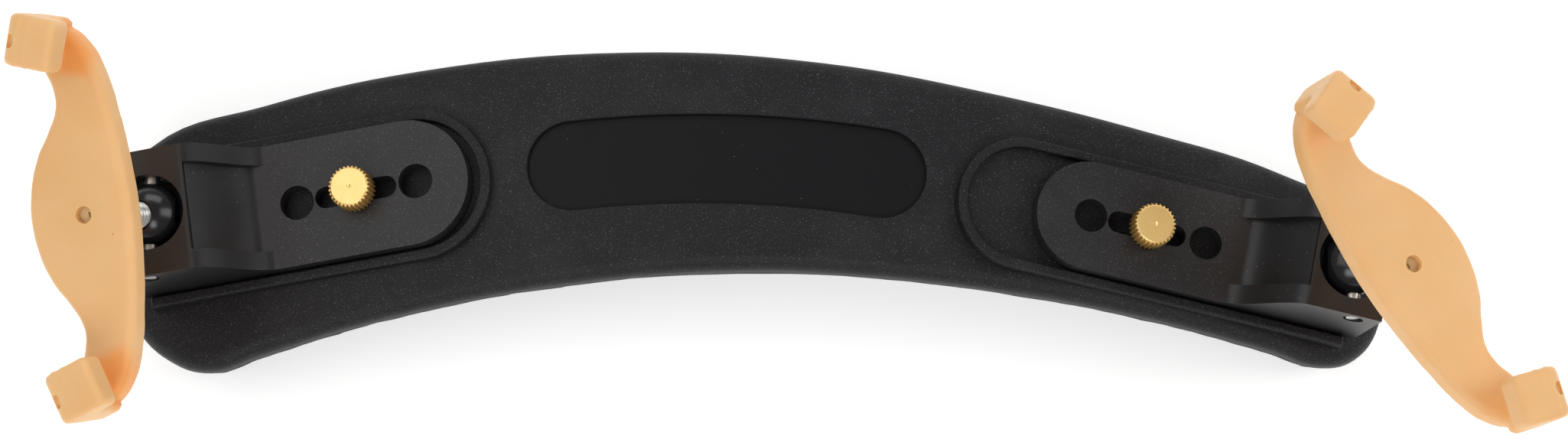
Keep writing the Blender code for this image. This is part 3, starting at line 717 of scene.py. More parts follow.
@dataclass(frozen=True)
class Side:
    """One end of the rest: the sizes of its track, bracket and fork."""

    name: str
    sign: int
    half_width: float
    bracket_inner_end: float
    holes: tuple[float, float]
    hole_radius: float
    slot: tuple[float, float]
    border_width: float
    channel_inner_end: float
    channel_outer_end: float
    pocket_half_width: float
    face_cant: float
    turn: float
    rubber_glow: float

    def track(self) -> Matrix:
        """Gives the track's frame: x outwards, z along the screw, origin under the screw."""
        outward = Vector(JOINTS[f"{self.name}_bracket_slide"]["axis"])
        screw = JOINTS[f"{self.name}_thumb_turn"]
        return axes_matrix(outward, Vector(screw["axis"]), Vector(screw["pos_m"]))

    def stud(self) -> Matrix:
        """Gives the stud's frame, with its origin in the middle of the ball."""
        turn = JOINTS[f"{self.name}_foot_turn"]
        axis = Vector(turn["axis"])
        return axes_matrix(Vector((axis.z, 0.0, -axis.x)), axis, Vector(turn["pos_m"]))

    def fork(self) -> Matrix:
        """Gives the fork's frame: origin on the rubber's top face, x away from the violin."""
        heading = self.turn if self.sign > 0 else math.pi - self.turn
        return (self.stud() @ Matrix.Translation((0.0, 0.0, FOOT_HEIGHT))
                @ Matrix.Rotation(-self.face_cant, 4, "X") @ Matrix.Rotation(heading, 4, "Z"))


def axes_matrix(x_axis: Vector, z_axis: Vector, origin: Vector) -> Matrix:
    """Builds a frame from its x and z directions and its origin."""
    z_axis = z_axis.normalized()
    y_axis = z_axis.cross(x_axis).normalized()
    matrix = Matrix((y_axis.cross(z_axis), y_axis, z_axis)).transposed().to_4x4()
    matrix.translation = origin
    return matrix


LEFT = Side(name="left", sign=-1, half_width=8.4 * MM, bracket_inner_end=-15.2 * MM,
            holes=(-8.1 * MM, 8.1 * MM), hole_radius=2.3 * MM, slot=(-5.5 * MM, 5.6 * MM),
            border_width=1.4 * MM, channel_inner_end=-16.3 * MM, channel_outer_end=30.0 * MM,
            pocket_half_width=5.9 * MM, face_cant=math.radians(-1.4), turn=math.radians(-3.5),
            rubber_glow=0.8)
RIGHT = Side(name="right", sign=1, half_width=7.2 * MM, bracket_inner_end=-15.2 * MM,
             holes=(-7.9 * MM, 7.9 * MM), hole_radius=2.2 * MM, slot=(-5.55 * MM, 5.1 * MM),
             border_width=1.3 * MM, channel_inner_end=-24.2 * MM, channel_outer_end=29.0 * MM,
             pocket_half_width=4.6 * MM, face_cant=math.radians(11.7), turn=math.radians(35.6),
             rubber_glow=0.15)
SIDES = (LEFT, RIGHT)

FOOT_HEIGHT = 19.0 * MM             # from the ball's middle to the rubber's top face
CRADLE_X = 25.9 * MM                # middle of the ball along the track
CRADLE_HEIGHT = 12.0 * MM
BALL_Z = 9.8 * MM
BRACKET_THICKNESS = 2.7 * MM
BORDER_HEIGHT = 1.0 * MM
FLOOR_DEPTH = 0.3 * MM
RUBBER_THICKNESS = 4.0 * MM


# ---------------------------------------------------------------- base and foam
@dataclass
class ArchedBase:
    """The arched base with its rounded rim, sunk plaque and two tracks."""

    outline: tuple[Point, ...] = (
        (-84.7, 12.9), (-69.0, 17.6), (-48.3, 21.3), (-20.2, 23.1), (5.1, 21.6), (27.8, 17.8),
        (48.2, 13.4), (66.2, 8.6), (74.8, 4.4), (79.4, -3.0), (79.4, -10.6), (76.0, -15.8),
        (70.8, -17.2), (64.8, -15.6), (48.0, -11.8), (27.6, -8.6), (10.0, -6.9), (-6.0, -6.4),
        (-30.0, -8.1), (-55.5, -12.6), (-69.5, -16.4), (-75.8, -18.1), (-81.6, -16.2),
        (-86.6, -11.0), (-89.3, -2.8), (-88.8, 7.0),
    )
    shift: Vector = field(default_factory=lambda: Vector((-0.123 * MM, 3.955 * MM, 0.0)))
    arch_centre: float = -4.5 * MM
    arch_radius: float = 270.0 * MM
    arch_top: float = 22.9 * MM
    thickness: float = 4.0 * MM
    top_round: float = 2.2 * MM
    lower_round: float = 0.5 * MM
    platform_root: float = 2.6 * MM
    platform_inset: float = 1.2 * MM
    plaque_centre: Point = (-7.5 * MM, 8.2 * MM)
    plaque_radius: float = 165.0 * MM
    plaque_half_length: float = 20.3 * MM
    plaque_half_width: float = 5.9 * MM
    plaque_tilt: float = math.radians(-1.6)
    plaque_depth: float = 0.6 * MM
    slice_length: float = 2.5 * MM
    channel_lip: float = 0.22 * MM
    nut_radius: float = 3.3 * MM
    nut_top: float = -1.4 * MM
    screw_hole_radius: float = 1.5 * MM

    def bend(self, bm: bmesh.types.BMesh) -> bmesh.types.BMesh:
        """Slices a flat solid across its length and lays each slice on the arch."""
        low = min(vert.co.x for vert in bm.verts)
        high = max(vert.co.x for vert in bm.verts)
        for i in range(1, int((high - low) / self.slice_length) + 1):
            bmesh.ops.bisect_plane(bm, geom=bm.verts[:] + bm.edges[:] + bm.faces[:],
                                   dist=0.002 * MM,
                                   plane_co=(low + (i - 0.5) * self.slice_length, 0.0, 0.0),
                                   plane_no=(1.0, 0.0, 0.0))
        for vert in bm.verts:
            drop = (vert.co.x - self.arch_centre) ** 2 / (2 * self.arch_radius)
            vert.co.z += self.arch_top - drop
        return moved(bm, Matrix.Translation(self.shift))

    def plaque_outline(self) -> list[Point]:
        """Gives the bent round-ended bar of the plaque."""
        half = self.plaque_half_length / self.plaque_radius
        degrees = math.degrees(half)
        left = (-self.plaque_radius * math.sin(half), self.plaque_radius * (math.cos(half) - 1))
        right = (-left[0], left[1])
        centre = (0.0, -self.plaque_radius)
        points = (arc(centre, self.plaque_radius + self.plaque_half_width,
                      90 + degrees, 90 - degrees, 24)
                  + arc(right, self.plaque_half_width, 90 - degrees, -90 - degrees, 20)[1:-1]
                  + arc(centre, self.plaque_radius - self.plaque_half_width,
                        90 - degrees, 90 + degrees, 24)
                  + arc(left, self.plaque_half_width, 270 + degrees, 90 + degrees, 20)[1:-1])
        turned = Matrix.Rotation(self.plaque_tilt, 2)
        placed = [turned @ Vector(point) + Vector(self.plaque_centre) for point in points]
        return [(point.x, point.y) for point in placed]

    def platform(self, side: Side) -> bpy.types.Object:
        """Makes the raised block that a track is cut from, kept inside the base's edge."""
        half = side.half_width + GAP + side.border_width
        bm = prism(tongue(side.channel_inner_end - side.border_width, side.channel_outer_end,
                          half), -self.platform_root, BORDER_HEIGHT)
        round_rim(bm, BORDER_HEIGHT, 0.35 * MM, 3)
        block = new_object(f"platform_{side.name}", moved(bm, side.track()), BASE_FINISH)
        outline = shrink(smooth_outline(in_metres(self.outline), 6), self.platform_inset)
        limit = moved(prism(outline, -self.thickness, 2 * self.arch_top),
                      Matrix.Translation(self.shift))
        carve(block, [(Join.KEEP, limit)])
        return block

    def build(self) -> None:
        """Builds the base in place of its plain solid."""
        bm = prism(smooth_outline(in_metres(self.outline), 7), -self.thickness, 0.0)
        round_rim(bm, 0.0, self.top_round, 7)
        round_rim(bm, -self.thickness, self.lower_round, 2)
        base = new_object("arched_base", bm, BASE_FINISH)
        plaque = flared(self.plaque_outline(), -self.plaque_depth, 0.0, 2.0 * MM, 0.2 * MM)
        carve(base, [(Join.REMOVE, plaque)], PLAQUE_FINISH)
        put_back(base, self.bend(edit(base)))
        blocks = [self.platform(side) for side in SIDES]
        for block in blocks:
            carve(base, [(Join.ADD, edit(block))])
            bpy.data.objects.remove(block, do_unlink=True)
        for side in SIDES:
            track = side.track()
            channel = flared(tongue(side.channel_inner_end, 2 * side.channel_outer_end,
                                    side.half_width + GAP),
                             -FLOOR_DEPTH, BORDER_HEIGHT, 5 * BORDER_HEIGHT, self.channel_lip)
            for tool in (rod(self.nut_radius, -2 * self.thickness, self.nut_top, 44),
                         rod(self.screw_hole_radius, -5.0 * MM, 6.1 * MM, 36), channel):
                carve(base, [(Join.REMOVE, moved(tool, track))])
        bm = edit(base)
        bmesh.ops.remove_doubles(bm, verts=bm.verts, dist=0.004 * MM)
        bmesh.ops.dissolve_degenerate(bm, edges=bm.edges, dist=0.001 * MM)
        put_back(base, bm)
        shade(base)
        install(base, "base", "base plastic", "base_shell")


@dataclass
class FoamPad:
    """The foam pad under the base, soft-edged and pressed flat where it stands."""

    base: ArchedBase
    thickness: float = 6.4 * MM
    inset: float = 1.0 * MM
    above: float = 4.9 * MM         # from the base's top face down to the foam
    voxel: float = 0.9 * MM
    swell: float = 0.35 * MM
    under_round: float = 1.6 * MM
    upper_round: float = 0.5 * MM
    lump_size: float = 6.0 * MM
    lump_height: float = 0.12 * MM

    def build(self) -> None:
        outline = shrink(smooth_outline(in_metres(self.base.outline), 5),
                         self.inset + self.swell)
        bm = prism(outline, -self.above - self.thickness, -self.above)
        round_rim(bm, -self.above - self.thickness, self.under_round, 5)
        round_rim(bm, -self.above, self.upper_round, 2)
        pad = new_object("foam_pad_soft", self.base.bend(bm), FOAM_FINISH)
        remesh = pad.modifiers.new("even mesh", "REMESH")
        remesh.mode = "VOXEL"
        remesh.voxel_size = self.voxel
        settle(pad)
        bm = edit(pad)
        for _ in range(3):
            bmesh.ops.smooth_vert(bm, verts=bm.verts, factor=0.5, use_axis_x=True,
                                  use_axis_y=True, use_axis_z=True)
        bm.normal_update()
        for vert in bm.verts:
            lump = noise.noise(vert.co / self.lump_size) * self.lump_height
            side = 1.0 - abs(vert.normal.z)
            vert.co += vert.normal * (self.swell * side + lump * (0.4 + 0.6 * side))
            vert.co.z = max(vert.co.z, 0.0)
        put_back(pad, bm)
        pad.data.materials.append(FOAM_FINISH)
        shade(pad, 60.0)
        install(pad, "base", "foam", "foam_pad")


# ---------------------------------------------------------------- bracket
@dataclass
class SlideBracket:
    """A sliding bracket: slotted plate, ramp with a pocket, and the ball's cradle."""

    side: Side
    ramp_start: float = 11.5 * MM
    ramp_end: float = 21.0 * MM
    outer_end: float = 30.6 * MM
    seat_radius: float = 5.0 * MM
    slot_half_width: float = 1.45 * MM
    pocket_lag: float = 1.5 * MM
    pocket_end: float = 20.4 * MM
    hollow_start: float = 14.5 * MM
    hollow_lag: float = 2.2 * MM
    hollow_skin: float = 3.2 * MM
    side_wall: float = 2.0 * MM
    edge_round: float = 0.27 * MM
    pin_hole_radius: float = 1.3 * MM

    def ramp_line(self, start: float, end: float, drop: float = 0.0,
                  lag: float = 0.0) -> list[Point]:
        """Gives the ramp's side view, lowered by a drop and moved outwards by a lag."""
        count = 22
        bends = [lag + self.ramp_start + (self.ramp_end - self.ramp_start) * i / count
                 for i in range(count + 1)]
        stations = [start] + [x for x in bends if start + 0.02 * MM < x < end - 0.02 * MM] + [end]
        line = []
        for x in stations:
            share = (x - lag - self.ramp_start) / (self.ramp_end - self.ramp_start)
            share = min(max(share, 0.0), 1.0)
            rise = (CRADLE_HEIGHT - BRACKET_THICKNESS) * (1.0 - math.cos(math.pi * share)) / 2
            line.append((x, BRACKET_THICKNESS + rise - drop))
        return line

    def side_solid(self, profile: list[Point], half_width: float) -> bmesh.types.BMesh:
        """Makes a solid from a side view in the track's XZ plane."""
        return moved(prism(profile, -half_width, half_width), Matrix.Rotation(math.pi / 2, 4, "X"))

    def build(self) -> None:
        """Builds the bracket in place of its plain solid."""
        side = self.side
        finish = BracketPlastic(f"bracket plastic {side.name}", place=side.track()).material()
        name = f"bracket_{side.name}"
        plan = prism(tongue(side.bracket_inner_end, self.outer_end, side.half_width, 28),
                     0.0, 2 * CRADLE_HEIGHT)
        bracket = new_object(name, plan, finish)
        inner, outer = 2 * side.bracket_inner_end, 2 * self.outer_end
        wide = 2 * side.half_width
        profile = self.ramp_line(inner, outer) + [(outer, -CRADLE_HEIGHT), (inner, -CRADLE_HEIGHT)]
        pocket = self.ramp_line(self.ramp_start, self.pocket_end, -0.02 * MM, self.pocket_lag)
        pocket += [(self.pocket_end, 2 * CRADLE_HEIGHT), (self.ramp_start, 2 * CRADLE_HEIGHT)]
        hollow = self.ramp_line(self.hollow_start, outer, self.hollow_skin, self.hollow_lag)
        hollow += [(outer, -CRADLE_HEIGHT), (self.hollow_start, -CRADLE_HEIGHT)]
        ball = Matrix.Translation((CRADLE_X, 0.0, BALL_Z))
        across = side.track().to_3x3().inverted() @ Vector((0.0, 1.0, 0.0))
        pin_hole = moved(rod(self.pin_hole_radius, -wide, wide, 28),
                         ball @ across.to_track_quat("Z", "X").to_matrix().to_4x4())
        tools = [(Join.KEEP, self.side_solid(profile, wide)),
                 (Join.REMOVE, self.side_solid(pocket, side.pocket_half_width)),
                 (Join.REMOVE, self.side_solid(hollow, side.half_width - self.side_wall)),
                 (Join.REMOVE, moved(rod(self.seat_radius, 0.0, 2 * CRADLE_HEIGHT, 64),
                                     Matrix.Translation((CRADLE_X, 0.0, 0.0)))),
                 (Join.REMOVE, prism(stadium(*side.slot, self.slot_half_width, 14),
                                     -BRACKET_THICKNESS, 2 * BRACKET_THICKNESS)),
                 (Join.REMOVE, pin_hole)]
        tools += [(Join.REMOVE, moved(rod(side.hole_radius, -BRACKET_THICKNESS,
                                          2 * BRACKET_THICKNESS, 36),
                                      Matrix.Translation((x, 0.0, 0.0)))) for x in side.holes]
        carve(bracket, tools)
        bm = edit(bracket)
        bmesh.ops.remove_doubles(bm, verts=bm.verts, dist=0.01 * MM)
        bmesh.ops.dissolve_limit(bm, angle_limit=math.radians(0.5), verts=bm.verts,
                                 edges=bm.edges)
        round_corners(bm, self.edge_round, 3, 38.0)
        put_back(bracket, moved(bm, side.track()))
        shade(bracket, 40.0)
        install(bracket, f"bracket_{side.name}", "bracket plastic", f"slide_bracket_{side.name}")


# ---------------------------------------------------------------- thumb screw
@dataclass
class ThumbScrew:
    """A knurled brass thumb screw with a turned face and a threaded shank."""

    side: Side
    radius: float = 2.85 * MM
    face_radius: float = 2.5 * MM
    height: float = 3.4 * MM
    tooth_depth: float = 0.3 * MM
    teeth: int = 30
    shank_radius: float = 1.2 * MM
    tip: float = -3.3 * MM
    neck_radius: float = 2.45 * MM
    bevel: float = 0.3 * MM
    dot_radius: float = 0.30 * MM

    def ring(self, verts: Sequence[bmesh.types.BMVert], radius: float, toothed: bool) -> None:
        """Puts a ring of vertices on a radius, with or without teeth."""
        count = len(verts)
        for i, vert in enumerate(verts):
            angle = 2 * math.pi * i / count
            notch = self.tooth_depth * (i % 4 in (2, 3)) if toothed else 0.0
            vert.co.x = (radius - notch) * math.cos(angle)
            vert.co.y = (radius - notch) * math.sin(angle)

    def build(self) -> None:
        """Builds the screw in place of its plain solid."""
        low = BRACKET_THICKNESS + GAP
        bm = bmesh.new()
        bmesh.ops.create_circle(bm, cap_ends=True, segments=4 * self.teeth,
                                radius=self.shank_radius)
        bmesh.ops.translate(bm, verts=bm.verts, vec=(0.0, 0.0, self.tip))
        cap = list(bm.faces)
        steps = ((low - self.tip, self.shank_radius, False), (0.0, self.neck_radius, False),
                 (self.bevel, self.radius, True),
                 (self.height - 2.5 * self.bevel, self.radius, True),
                 (self.bevel, self.radius - 0.12 * MM, True), (0.02 * MM, self.face_radius, False),
                 (0.10 * MM, self.face_radius - 0.12 * MM, False),
                 (0.0, self.dot_radius, False), (-0.12 * MM, self.dot_radius / 3, False))
        for rise, radius, toothed in steps:
            cap = grow(bm, cap, rise)
            self.ring([loop.vert for loop in cap[0].loops], radius, toothed)
        bmesh.ops.recalc_face_normals(bm, faces=bm.faces)
        track = self.side.track()
        finish = TurnedBrass(track, f"turned brass {self.side.name}").material()
        screw = new_object(f"thumb_screw_{self.side.name}_turned", moved(bm, track), finish)
        shade(screw, 24.0)
        install(screw, f"screw_{self.side.name}", "brass", f"thumb_screw_{self.side.name}")


# ---------------------------------------------------------------- knuckle, pins and stud
@dataclass
class Knuckle:
    """The glossy ball with a flat inner face, a threaded bore and its two stub pins."""

    side: Side
    radius: float = 4.2 * MM
    flat_at: float = 3.35 * MM
    bore_radius: float = 2.0 * MM
    pin_radius: float = 1.0 * MM
    pin_round: float = 0.15 * MM
    rim_width: float = 0.15 * MM
    rim_depth: float = 0.06 * MM

    def build(self) -> None:
        """Builds the ball and the pins in place of their plain solids."""
        side = self.side
        stud = side.stud()
        centre = stud.translation
        upright = Matrix.Translation(centre) @ Matrix.Rotation(math.pi / 2, 4, "X")
        bm = bmesh.new()
        bmesh.ops.create_uvsphere(bm, u_segments=72, v_segments=40, radius=self.radius)
        inward = Vector((-side.sign, 0.0, 0.0))
        cut = bmesh.ops.bisect_plane(bm, geom=bm.verts[:] + bm.edges[:] + bm.faces[:],
                                     plane_co=inward * self.flat_at, plane_no=inward,
                                     clear_outer=True)["geom_cut"]
        rim = [item for item in cut if isinstance(item, bmesh.types.BMEdge)]
        face = bmesh.ops.contextual_create(bm, geom=rim)["faces"]
        bmesh.ops.inset_region(bm, faces=face, thickness=self.rim_width, depth=-self.rim_depth)
        bmesh.ops.recalc_face_normals(bm, faces=bm.faces)
        ball = new_object(f"ball_{side.name}", moved(bm, Matrix.Translation(centre)), BALL_FINISH)
        reach = 2 * self.radius
        carve(ball, [(Join.REMOVE, moved(rod(self.bore_radius, -reach, reach), stud)),
                     (Join.REMOVE, moved(rod(self.pin_radius + 0.2 * MM, -reach, reach, 32),
                                         upright))])
        shade(ball)
        install(ball, f"knuckle_{side.name}", "ball plastic", f"knuckle_{side.name}")
        for label in ("front", "rear"):
            self.pin(label, centre)

    def pin(self, label: str, centre: Vector) -> None:
        """Builds one stub pin with rounded ends."""
        node = f"pivot_pin_{self.side.name}_{label}"
        low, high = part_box(node)
        bm = rod(self.pin_radius, low.y, high.y, 32)
        round_corners(bm, self.pin_round, 3, 40.0)
        place = (Matrix.Translation((centre.x, 0.0, centre.z))
                 @ Matrix.Rotation(-math.pi / 2, 4, "X"))
        pin = new_object(f"{node}_turned", moved(bm, place), STEEL_FINISH)
        shade(pin)
        install(pin, f"bracket_{self.side.name}", "steel", node)


@dataclass
class ThreadedStud:
    """The stud between ball and fork, with a cut helical thread."""

    side: Side
    radius: float = 1.8 * MM
    depth: float = 0.28 * MM
    pitch: float = 0.8 * MM
    below: float = 6.0 * MM
    plain_from: float = 14.0 * MM
    top: float = 17.4 * MM
    overlap: float = 0.4 * MM
    spare_turns: float = 2.3
    steps: int = 32

    def build(self) -> None:
        """Spins one thread profile into a helix and trims both ends flat."""
        low, high = -self.below, self.plain_from
        turns = int((high - low) / self.pitch) + 4
        bm = bmesh.new()
        start = low - self.spare_turns * self.pitch
        points = []
        for i in range(turns):
            z = start + i * self.pitch
            points += [(self.radius, z), (self.radius, z + 0.12 * self.pitch),
                       (self.radius - self.depth, z + 0.5 * self.pitch),
                       (self.radius - self.depth, z + 0.6 * self.pitch)]
        verts = [bm.verts.new((x, 0.0, z)) for x, z in points]
        edges = [bm.edges.new(pair) for pair in zip(verts, verts[1:])]
        bmesh.ops.spin(bm, geom=verts + edges, cent=(0.0, 0.0, 0.0), axis=(0.0, 0.0, 1.0),
                       dvec=(0.0, 0.0, self.pitch / self.steps), angle=2 * math.pi,
                       steps=self.steps, use_merge=False)
        bmesh.ops.remove_doubles(bm, verts=bm.verts, dist=0.005 * MM)
        for z, way in ((low, -1.0), (high, 1.0)):
            cut = bmesh.ops.bisect_plane(bm, geom=bm.verts[:] + bm.edges[:] + bm.faces[:],
                                         plane_co=(0.0, 0.0, z), plane_no=(0.0, 0.0, way),
                                         clear_outer=True)["geom_cut"]
            rim = [item for item in cut if isinstance(item, bmesh.types.BMEdge)]
            bmesh.ops.holes_fill(bm, edges=rim, sides=0)
        bmesh.ops.recalc_face_normals(bm, faces=bm.faces)
        stud = new_object(f"stud_{self.side.name}", bm, STEEL_FINISH)
        neck = rod(self.radius + 0.03 * MM, self.plain_from - self.overlap, self.top, 40)
        round_corners(neck, 0.15 * MM, 2, 40.0)
        carve(stud, [(Join.ADD, neck)])
        put_back(stud, moved(edit(stud), self.side.stud()))
        shade(stud)
        install(stud, f"post_{self.side.name}", "steel", f"foot_stud_{self.side.name}")


# ---------------------------------------------------------------- rubber fork
@dataclass
class RubberFork:
    """A rubber fork: bowed plate, two hooked claws, a dimple and its torn film."""

    side: Side
    inner: Point = (-6.5, 0.0)
    outer: Point = (7.85, 0.0)
    half: tuple[Point, ...] = (
        (-6.2, 6.0), (-5.5, 12.0), (-4.2, 18.4), (-2.7, 21.8), (-0.4, 24.2), (2.0, 25.2),
        (3.9, 24.6), (4.3, 22.4), (3.4, 19.2), (2.45, 16.4), (2.45, 14.0), (3.85, 11.2),
        (5.95, 8.0), (7.35, 4.2),
    )
    claw_side: tuple[Point, ...] = (
        (-3.5, 5.1), (-3.0, 4.6), (-1.2, 4.6), (-0.75, 4.3), (-0.55, 3.7), (-0.55, -2.0),
        (2.8, -2.0), (3.35, 1.0), (3.5, 5.2), (3.4, 6.8),
    )
    claw_centre: Point = (0.25 * MM, 22.1 * MM)
    claw_splay: float = math.radians(18.3)
    claw_width: float = 6.7 * MM
    claw_round: float = 0.8 * MM
    rim_round: float = 1.1 * MM
    dimple_radius: float = 1.05 * MM
    ridge_width: float = 0.2 * MM
    ridges: tuple[tuple[float, float, float], ...] = ((0.25 * MM, 0.1 * MM, 0.06 * MM),
                                                      (1.75 * MM, 0.6 * MM, 0.08 * MM))
    head_top: float = 9.0 * MM
    film: tuple[float, float] = (-1.05 * MM, -1.2 * MM)
    bore: tuple[float, float, float] = (2.1 * MM, -5.0 * MM, -1.4 * MM)
    notch_radius: float = 0.95 * MM
    notch_place: tuple[float, float, float] = (2.75 * MM, 0.3 * MM, 8.75 * MM)
    notch_tilt: float = math.radians(32.0)
    unevenness: float = 0.10 * MM
    voxel: float = 0.26 * MM

    def claw_place(self, end: int) -> Matrix:
        """Gives the frame of a claw inside the fork's: x along the claw, away from the violin."""
        return (Matrix.Translation((self.claw_centre[0], end * self.claw_centre[1], 0.0))
                @ Matrix.Rotation(end * self.claw_splay, 4, "Z"))

    def claw(self, end: int) -> bmesh.types.BMesh:
        """Makes one claw, a riser with a thick head whose lip reaches over the groove."""
        profile = in_metres(list(self.claw_side) + arc((1.55, 7.1), 1.9, 0, 90, 8)
                            + arc((-2.7, 8.2), 0.8, 90, 180, 5))
        bm = prism(profile, -self.claw_width / 2, self.claw_width / 2)
        round_rim(bm, self.claw_width / 2, self.claw_round, 4)
        round_rim(bm, -self.claw_width / 2, self.claw_round, 4)
        return moved(bm, self.claw_place(end) @ Matrix.Rotation(math.pi / 2, 4, "X"))

    def add_film(self, bm: bmesh.types.BMesh) -> None:
        """Adds the thin torn skin above the dimple's floor, open over a patch of steel."""
        rim, tear = [], []
        for i in range(28):
            angle = 2 * math.pi * i / 28
            reach = 0.33 * MM * (1.0 + 0.7 * noise.noise(Vector((i * 0.6, self.side.sign, 0.5))))
            rim.append((self.dimple_radius * math.cos(angle), self.dimple_radius * math.sin(angle)))
            tear.append((-0.4 * MM + 0.7 * reach * math.cos(angle),
                         1.25 * reach * math.sin(angle)))
        top, under = self.film
        rings = [[bm.verts.new((x, y, z)) for x, y in loop]
                 for loop, z in ((rim, top), (tear, top), (tear, under), (rim, under))]
        for ring, after in zip(rings, rings[1:] + rings[:1]):
            for i in range(28):
                j = (i + 1) % 28
                bm.faces.new((ring[i], ring[j], after[j], after[i]))

    def cover(self, finish: bpy.types.Material) -> bpy.types.Object:
        """Fuses plate and claws into one soft-cornered solid in the fork's frame."""
        lower = [(x, -y) for x, y in reversed(self.half)]
        outline = smooth_outline(in_metres([self.inner, *self.half, self.outer, *lower]), 5)
        bm = prism(outline, -RUBBER_THICKNESS, 0.0)
        round_rim(bm, 0.0, self.rim_round, 5)
        round_rim(bm, -RUBBER_THICKNESS, self.rim_round, 4)
        cover = new_object(f"rubber_fork_{self.side.name}", bm, finish)
        carve(cover, [(Join.ADD, self.claw(1)), (Join.ADD, self.claw(-1))])
        remesh = cover.modifiers.new("even mesh", "REMESH")
        remesh.mode = "VOXEL"
        remesh.voxel_size = self.voxel
        soften = cover.modifiers.new("soft corners", "SMOOTH")
        soften.factor = 0.5
        soften.iterations = 4
        settle(cover)
        return cover

    def trim(self, bm: bmesh.types.BMesh) -> None:
        """Raises the parting ridges on the heads and makes the plate's outline less even."""
        frames = {end: self.claw_place(end).inverted() for end in (1, -1)}
        for vert in bm.verts:
            wave = noise.noise(Vector((vert.co.x, vert.co.y, 0.0)) / (2.3 * MM))
            if vert.co.z < 0.2 * MM:
                vert.co += vert.normal * wave * self.unevenness * (1.0 - abs(vert.normal.z))
            elif vert.co.z > 0.6 * self.head_top:
                along = (frames[1 if vert.co.y > 0.0 else -1] @ vert.co).x
                for place, wander, height in self.ridges:
                    reach = (along - place - wander * wave) / self.ridge_width
                    vert.co += vert.normal * height * math.exp(-reach * reach)

    def build(self) -> None:
        """Builds the fork in place of its plain solid and adds its small moulded marks."""
        side = self.side
        fork = side.fork()
        heads = (fork @ self.claw_place(1), fork @ self.claw_place(-1))
        finish = PeachRubber(fork, heads, side.rubber_glow,
                             f"peach rubber {side.name}").material()
        cover = self.cover(finish)
        bm = edit(cover)
        bm.normal_update()
        self.trim(bm)
        put_back(cover, bm)
        if not cover.data.materials:
            cover.data.materials.append(finish)
        tools = [(Join.REMOVE, rod(self.dimple_radius, -1.3 * MM, 0.6 * MM, 40,
                                   self.dimple_radius + 0.1 * MM))]
        tools.append((Join.REMOVE, rod(*self.bore, 40)))
        for end in (1, -1):
            place = (self.claw_place(end) @ Matrix.Translation(self.notch_place)
                     @ Matrix.Rotation(self.notch_tilt, 4, "Y"))
            notch = rod(self.notch_radius, -0.8 * MM, 2.0 * MM, 28)
            tools.append((Join.REMOVE, moved(notch, place)))
        carve(cover, tools)
        bm = edit(cover)
        self.add_film(bm)
        put_back(cover, moved(bm, fork))
        shade(cover, 50.0)
        install(cover, f"foot_{side.name}", "rubber", f"foot_rubber_{side.name}")


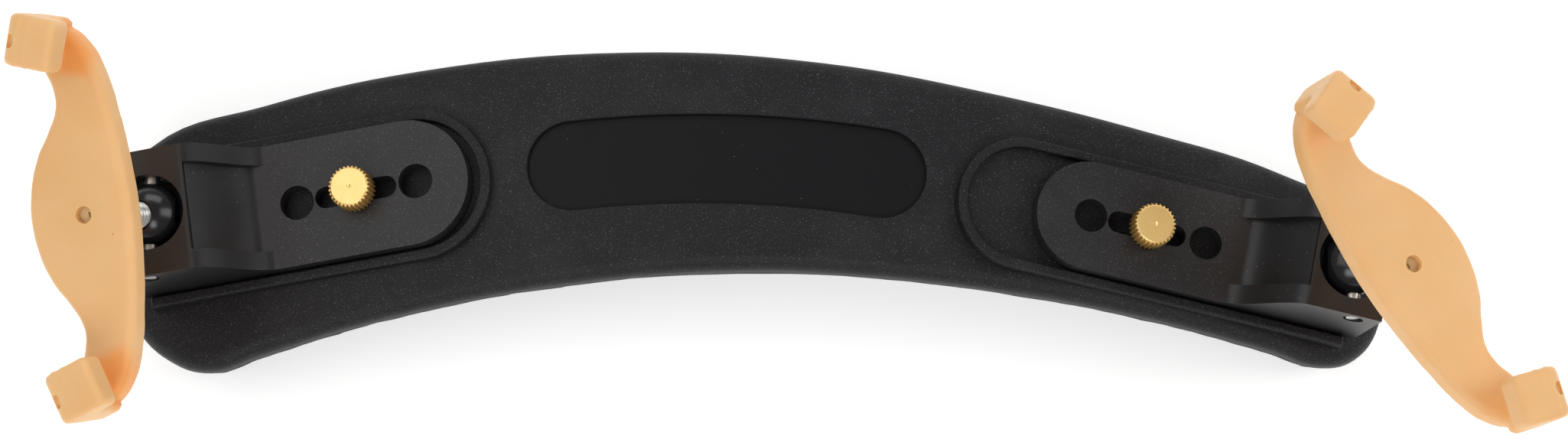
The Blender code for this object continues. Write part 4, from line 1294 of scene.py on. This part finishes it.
# ---------------------------------------------------------------- studio
@dataclass
class Studio:
    """The floor, the soft lights and the camera."""

    target: Vector = field(default_factory=lambda: Vector((-0.123 * MM, 3.955 * MM, 23.0 * MM)))
    elevation: float = math.radians(78.0)
    distance: float = 650.0 * MM
    lens: float = 114.15
    air: float = 0.29

    def floor(self) -> None:
        """Lays the pale floor."""
        bm = bmesh.new()
        bmesh.ops.create_grid(bm, x_segments=2, y_segments=2, size=6.0)
        floor = new_object("studio_floor", bm, PaleFloor().material())

    def light(self, name: str, place: Point, height: float, size: Point, power: float) -> None:
        """Hangs one soft rectangular light that faces the rest."""
        lamp = bpy.data.lights.new(name, "AREA")
        lamp.shape = "RECTANGLE"
        lamp.size, lamp.size_y = size
        lamp.energy = power
        obj = bpy.data.objects.new(name, lamp)
        obj.location = (*place, height)
        obj.rotation_euler = (self.target - obj.location).to_track_quat("-Z", "Y").to_euler()
        bpy.context.scene.collection.objects.link(obj)

    def build(self) -> None:
        """Sets up the whole studio."""
        self.floor()
        self.light("front_softbox", (-0.05, -0.80), 0.85, (0.9, 0.5), 5.6)
        self.light("left_softbox", (-0.56, 0.16), 1.02, (1.0, 1.0), 4.3)
        self.light("right_softbox", (0.95, 0.10), 0.60, (0.5, 0.9), 3.4)
        self.light("rear_softbox", (0.1, 0.95), 0.65, (1.0, 0.5), 3.6)
        world = bpy.data.worlds.new("studio air")
        world.use_nodes = True
        glow = world.node_tree.nodes["Background"].inputs
        glow["Color"].default_value = (0.98, 0.99, 1.0, 1.0)
        glow["Strength"].default_value = self.air
        scene = bpy.context.scene
        scene.world = world
        scene.view_settings.view_transform = "Standard"
        camera = bpy.data.cameras.new("camera")
        camera.lens = self.lens
        camera.clip_start = 0.01
        obj = bpy.data.objects.new("camera", camera)
        obj.location = self.target + self.distance * Vector((0.0, -math.cos(self.elevation),
                                                             math.sin(self.elevation)))
        obj.rotation_euler = (self.target - obj.location).to_track_quat("-Z", "Y").to_euler()
        scene.collection.objects.link(obj)
        scene.camera = obj


BASE_FINISH = GrainedPlastic("base plastic").material()
PLAQUE_FINISH = PlaquePlastic().material()
BALL_FINISH = GlossyPlastic().material()
STEEL_FINISH = PlatedSteel().material()
FOAM_FINISH = ClosedFoam().material()


def dress(node: str, material: bpy.types.Material) -> None:
    """Gives a CAD node that stays on show a finish of its own."""
    mesh = frame["nodes"][node].data
    mesh.materials.clear()
    mesh.materials.append(material)


def main() -> None:
    """Builds every piece in order."""
    logging.basicConfig(level=logging.INFO, format="%(name)s: %(message)s")
    Studio().build()
    base = ArchedBase()
    base.build()
    FoamPad(base).build()
    dress("pad_adhesive", AdhesiveSheet().material())
    for side in SIDES:
        dress(f"insert_nut_{side.name}",
              TurnedBrass(side.track(), f"insert brass {side.name}").material())
        dress(f"foot_frame_{side.name}", STEEL_FINISH)
        SlideBracket(side).build()
        ThumbScrew(side).build()
        Knuckle(side).build()
        ThreadedStud(side).build()
        RubberFork(side).build()


if __name__ == "__main__":
    main()
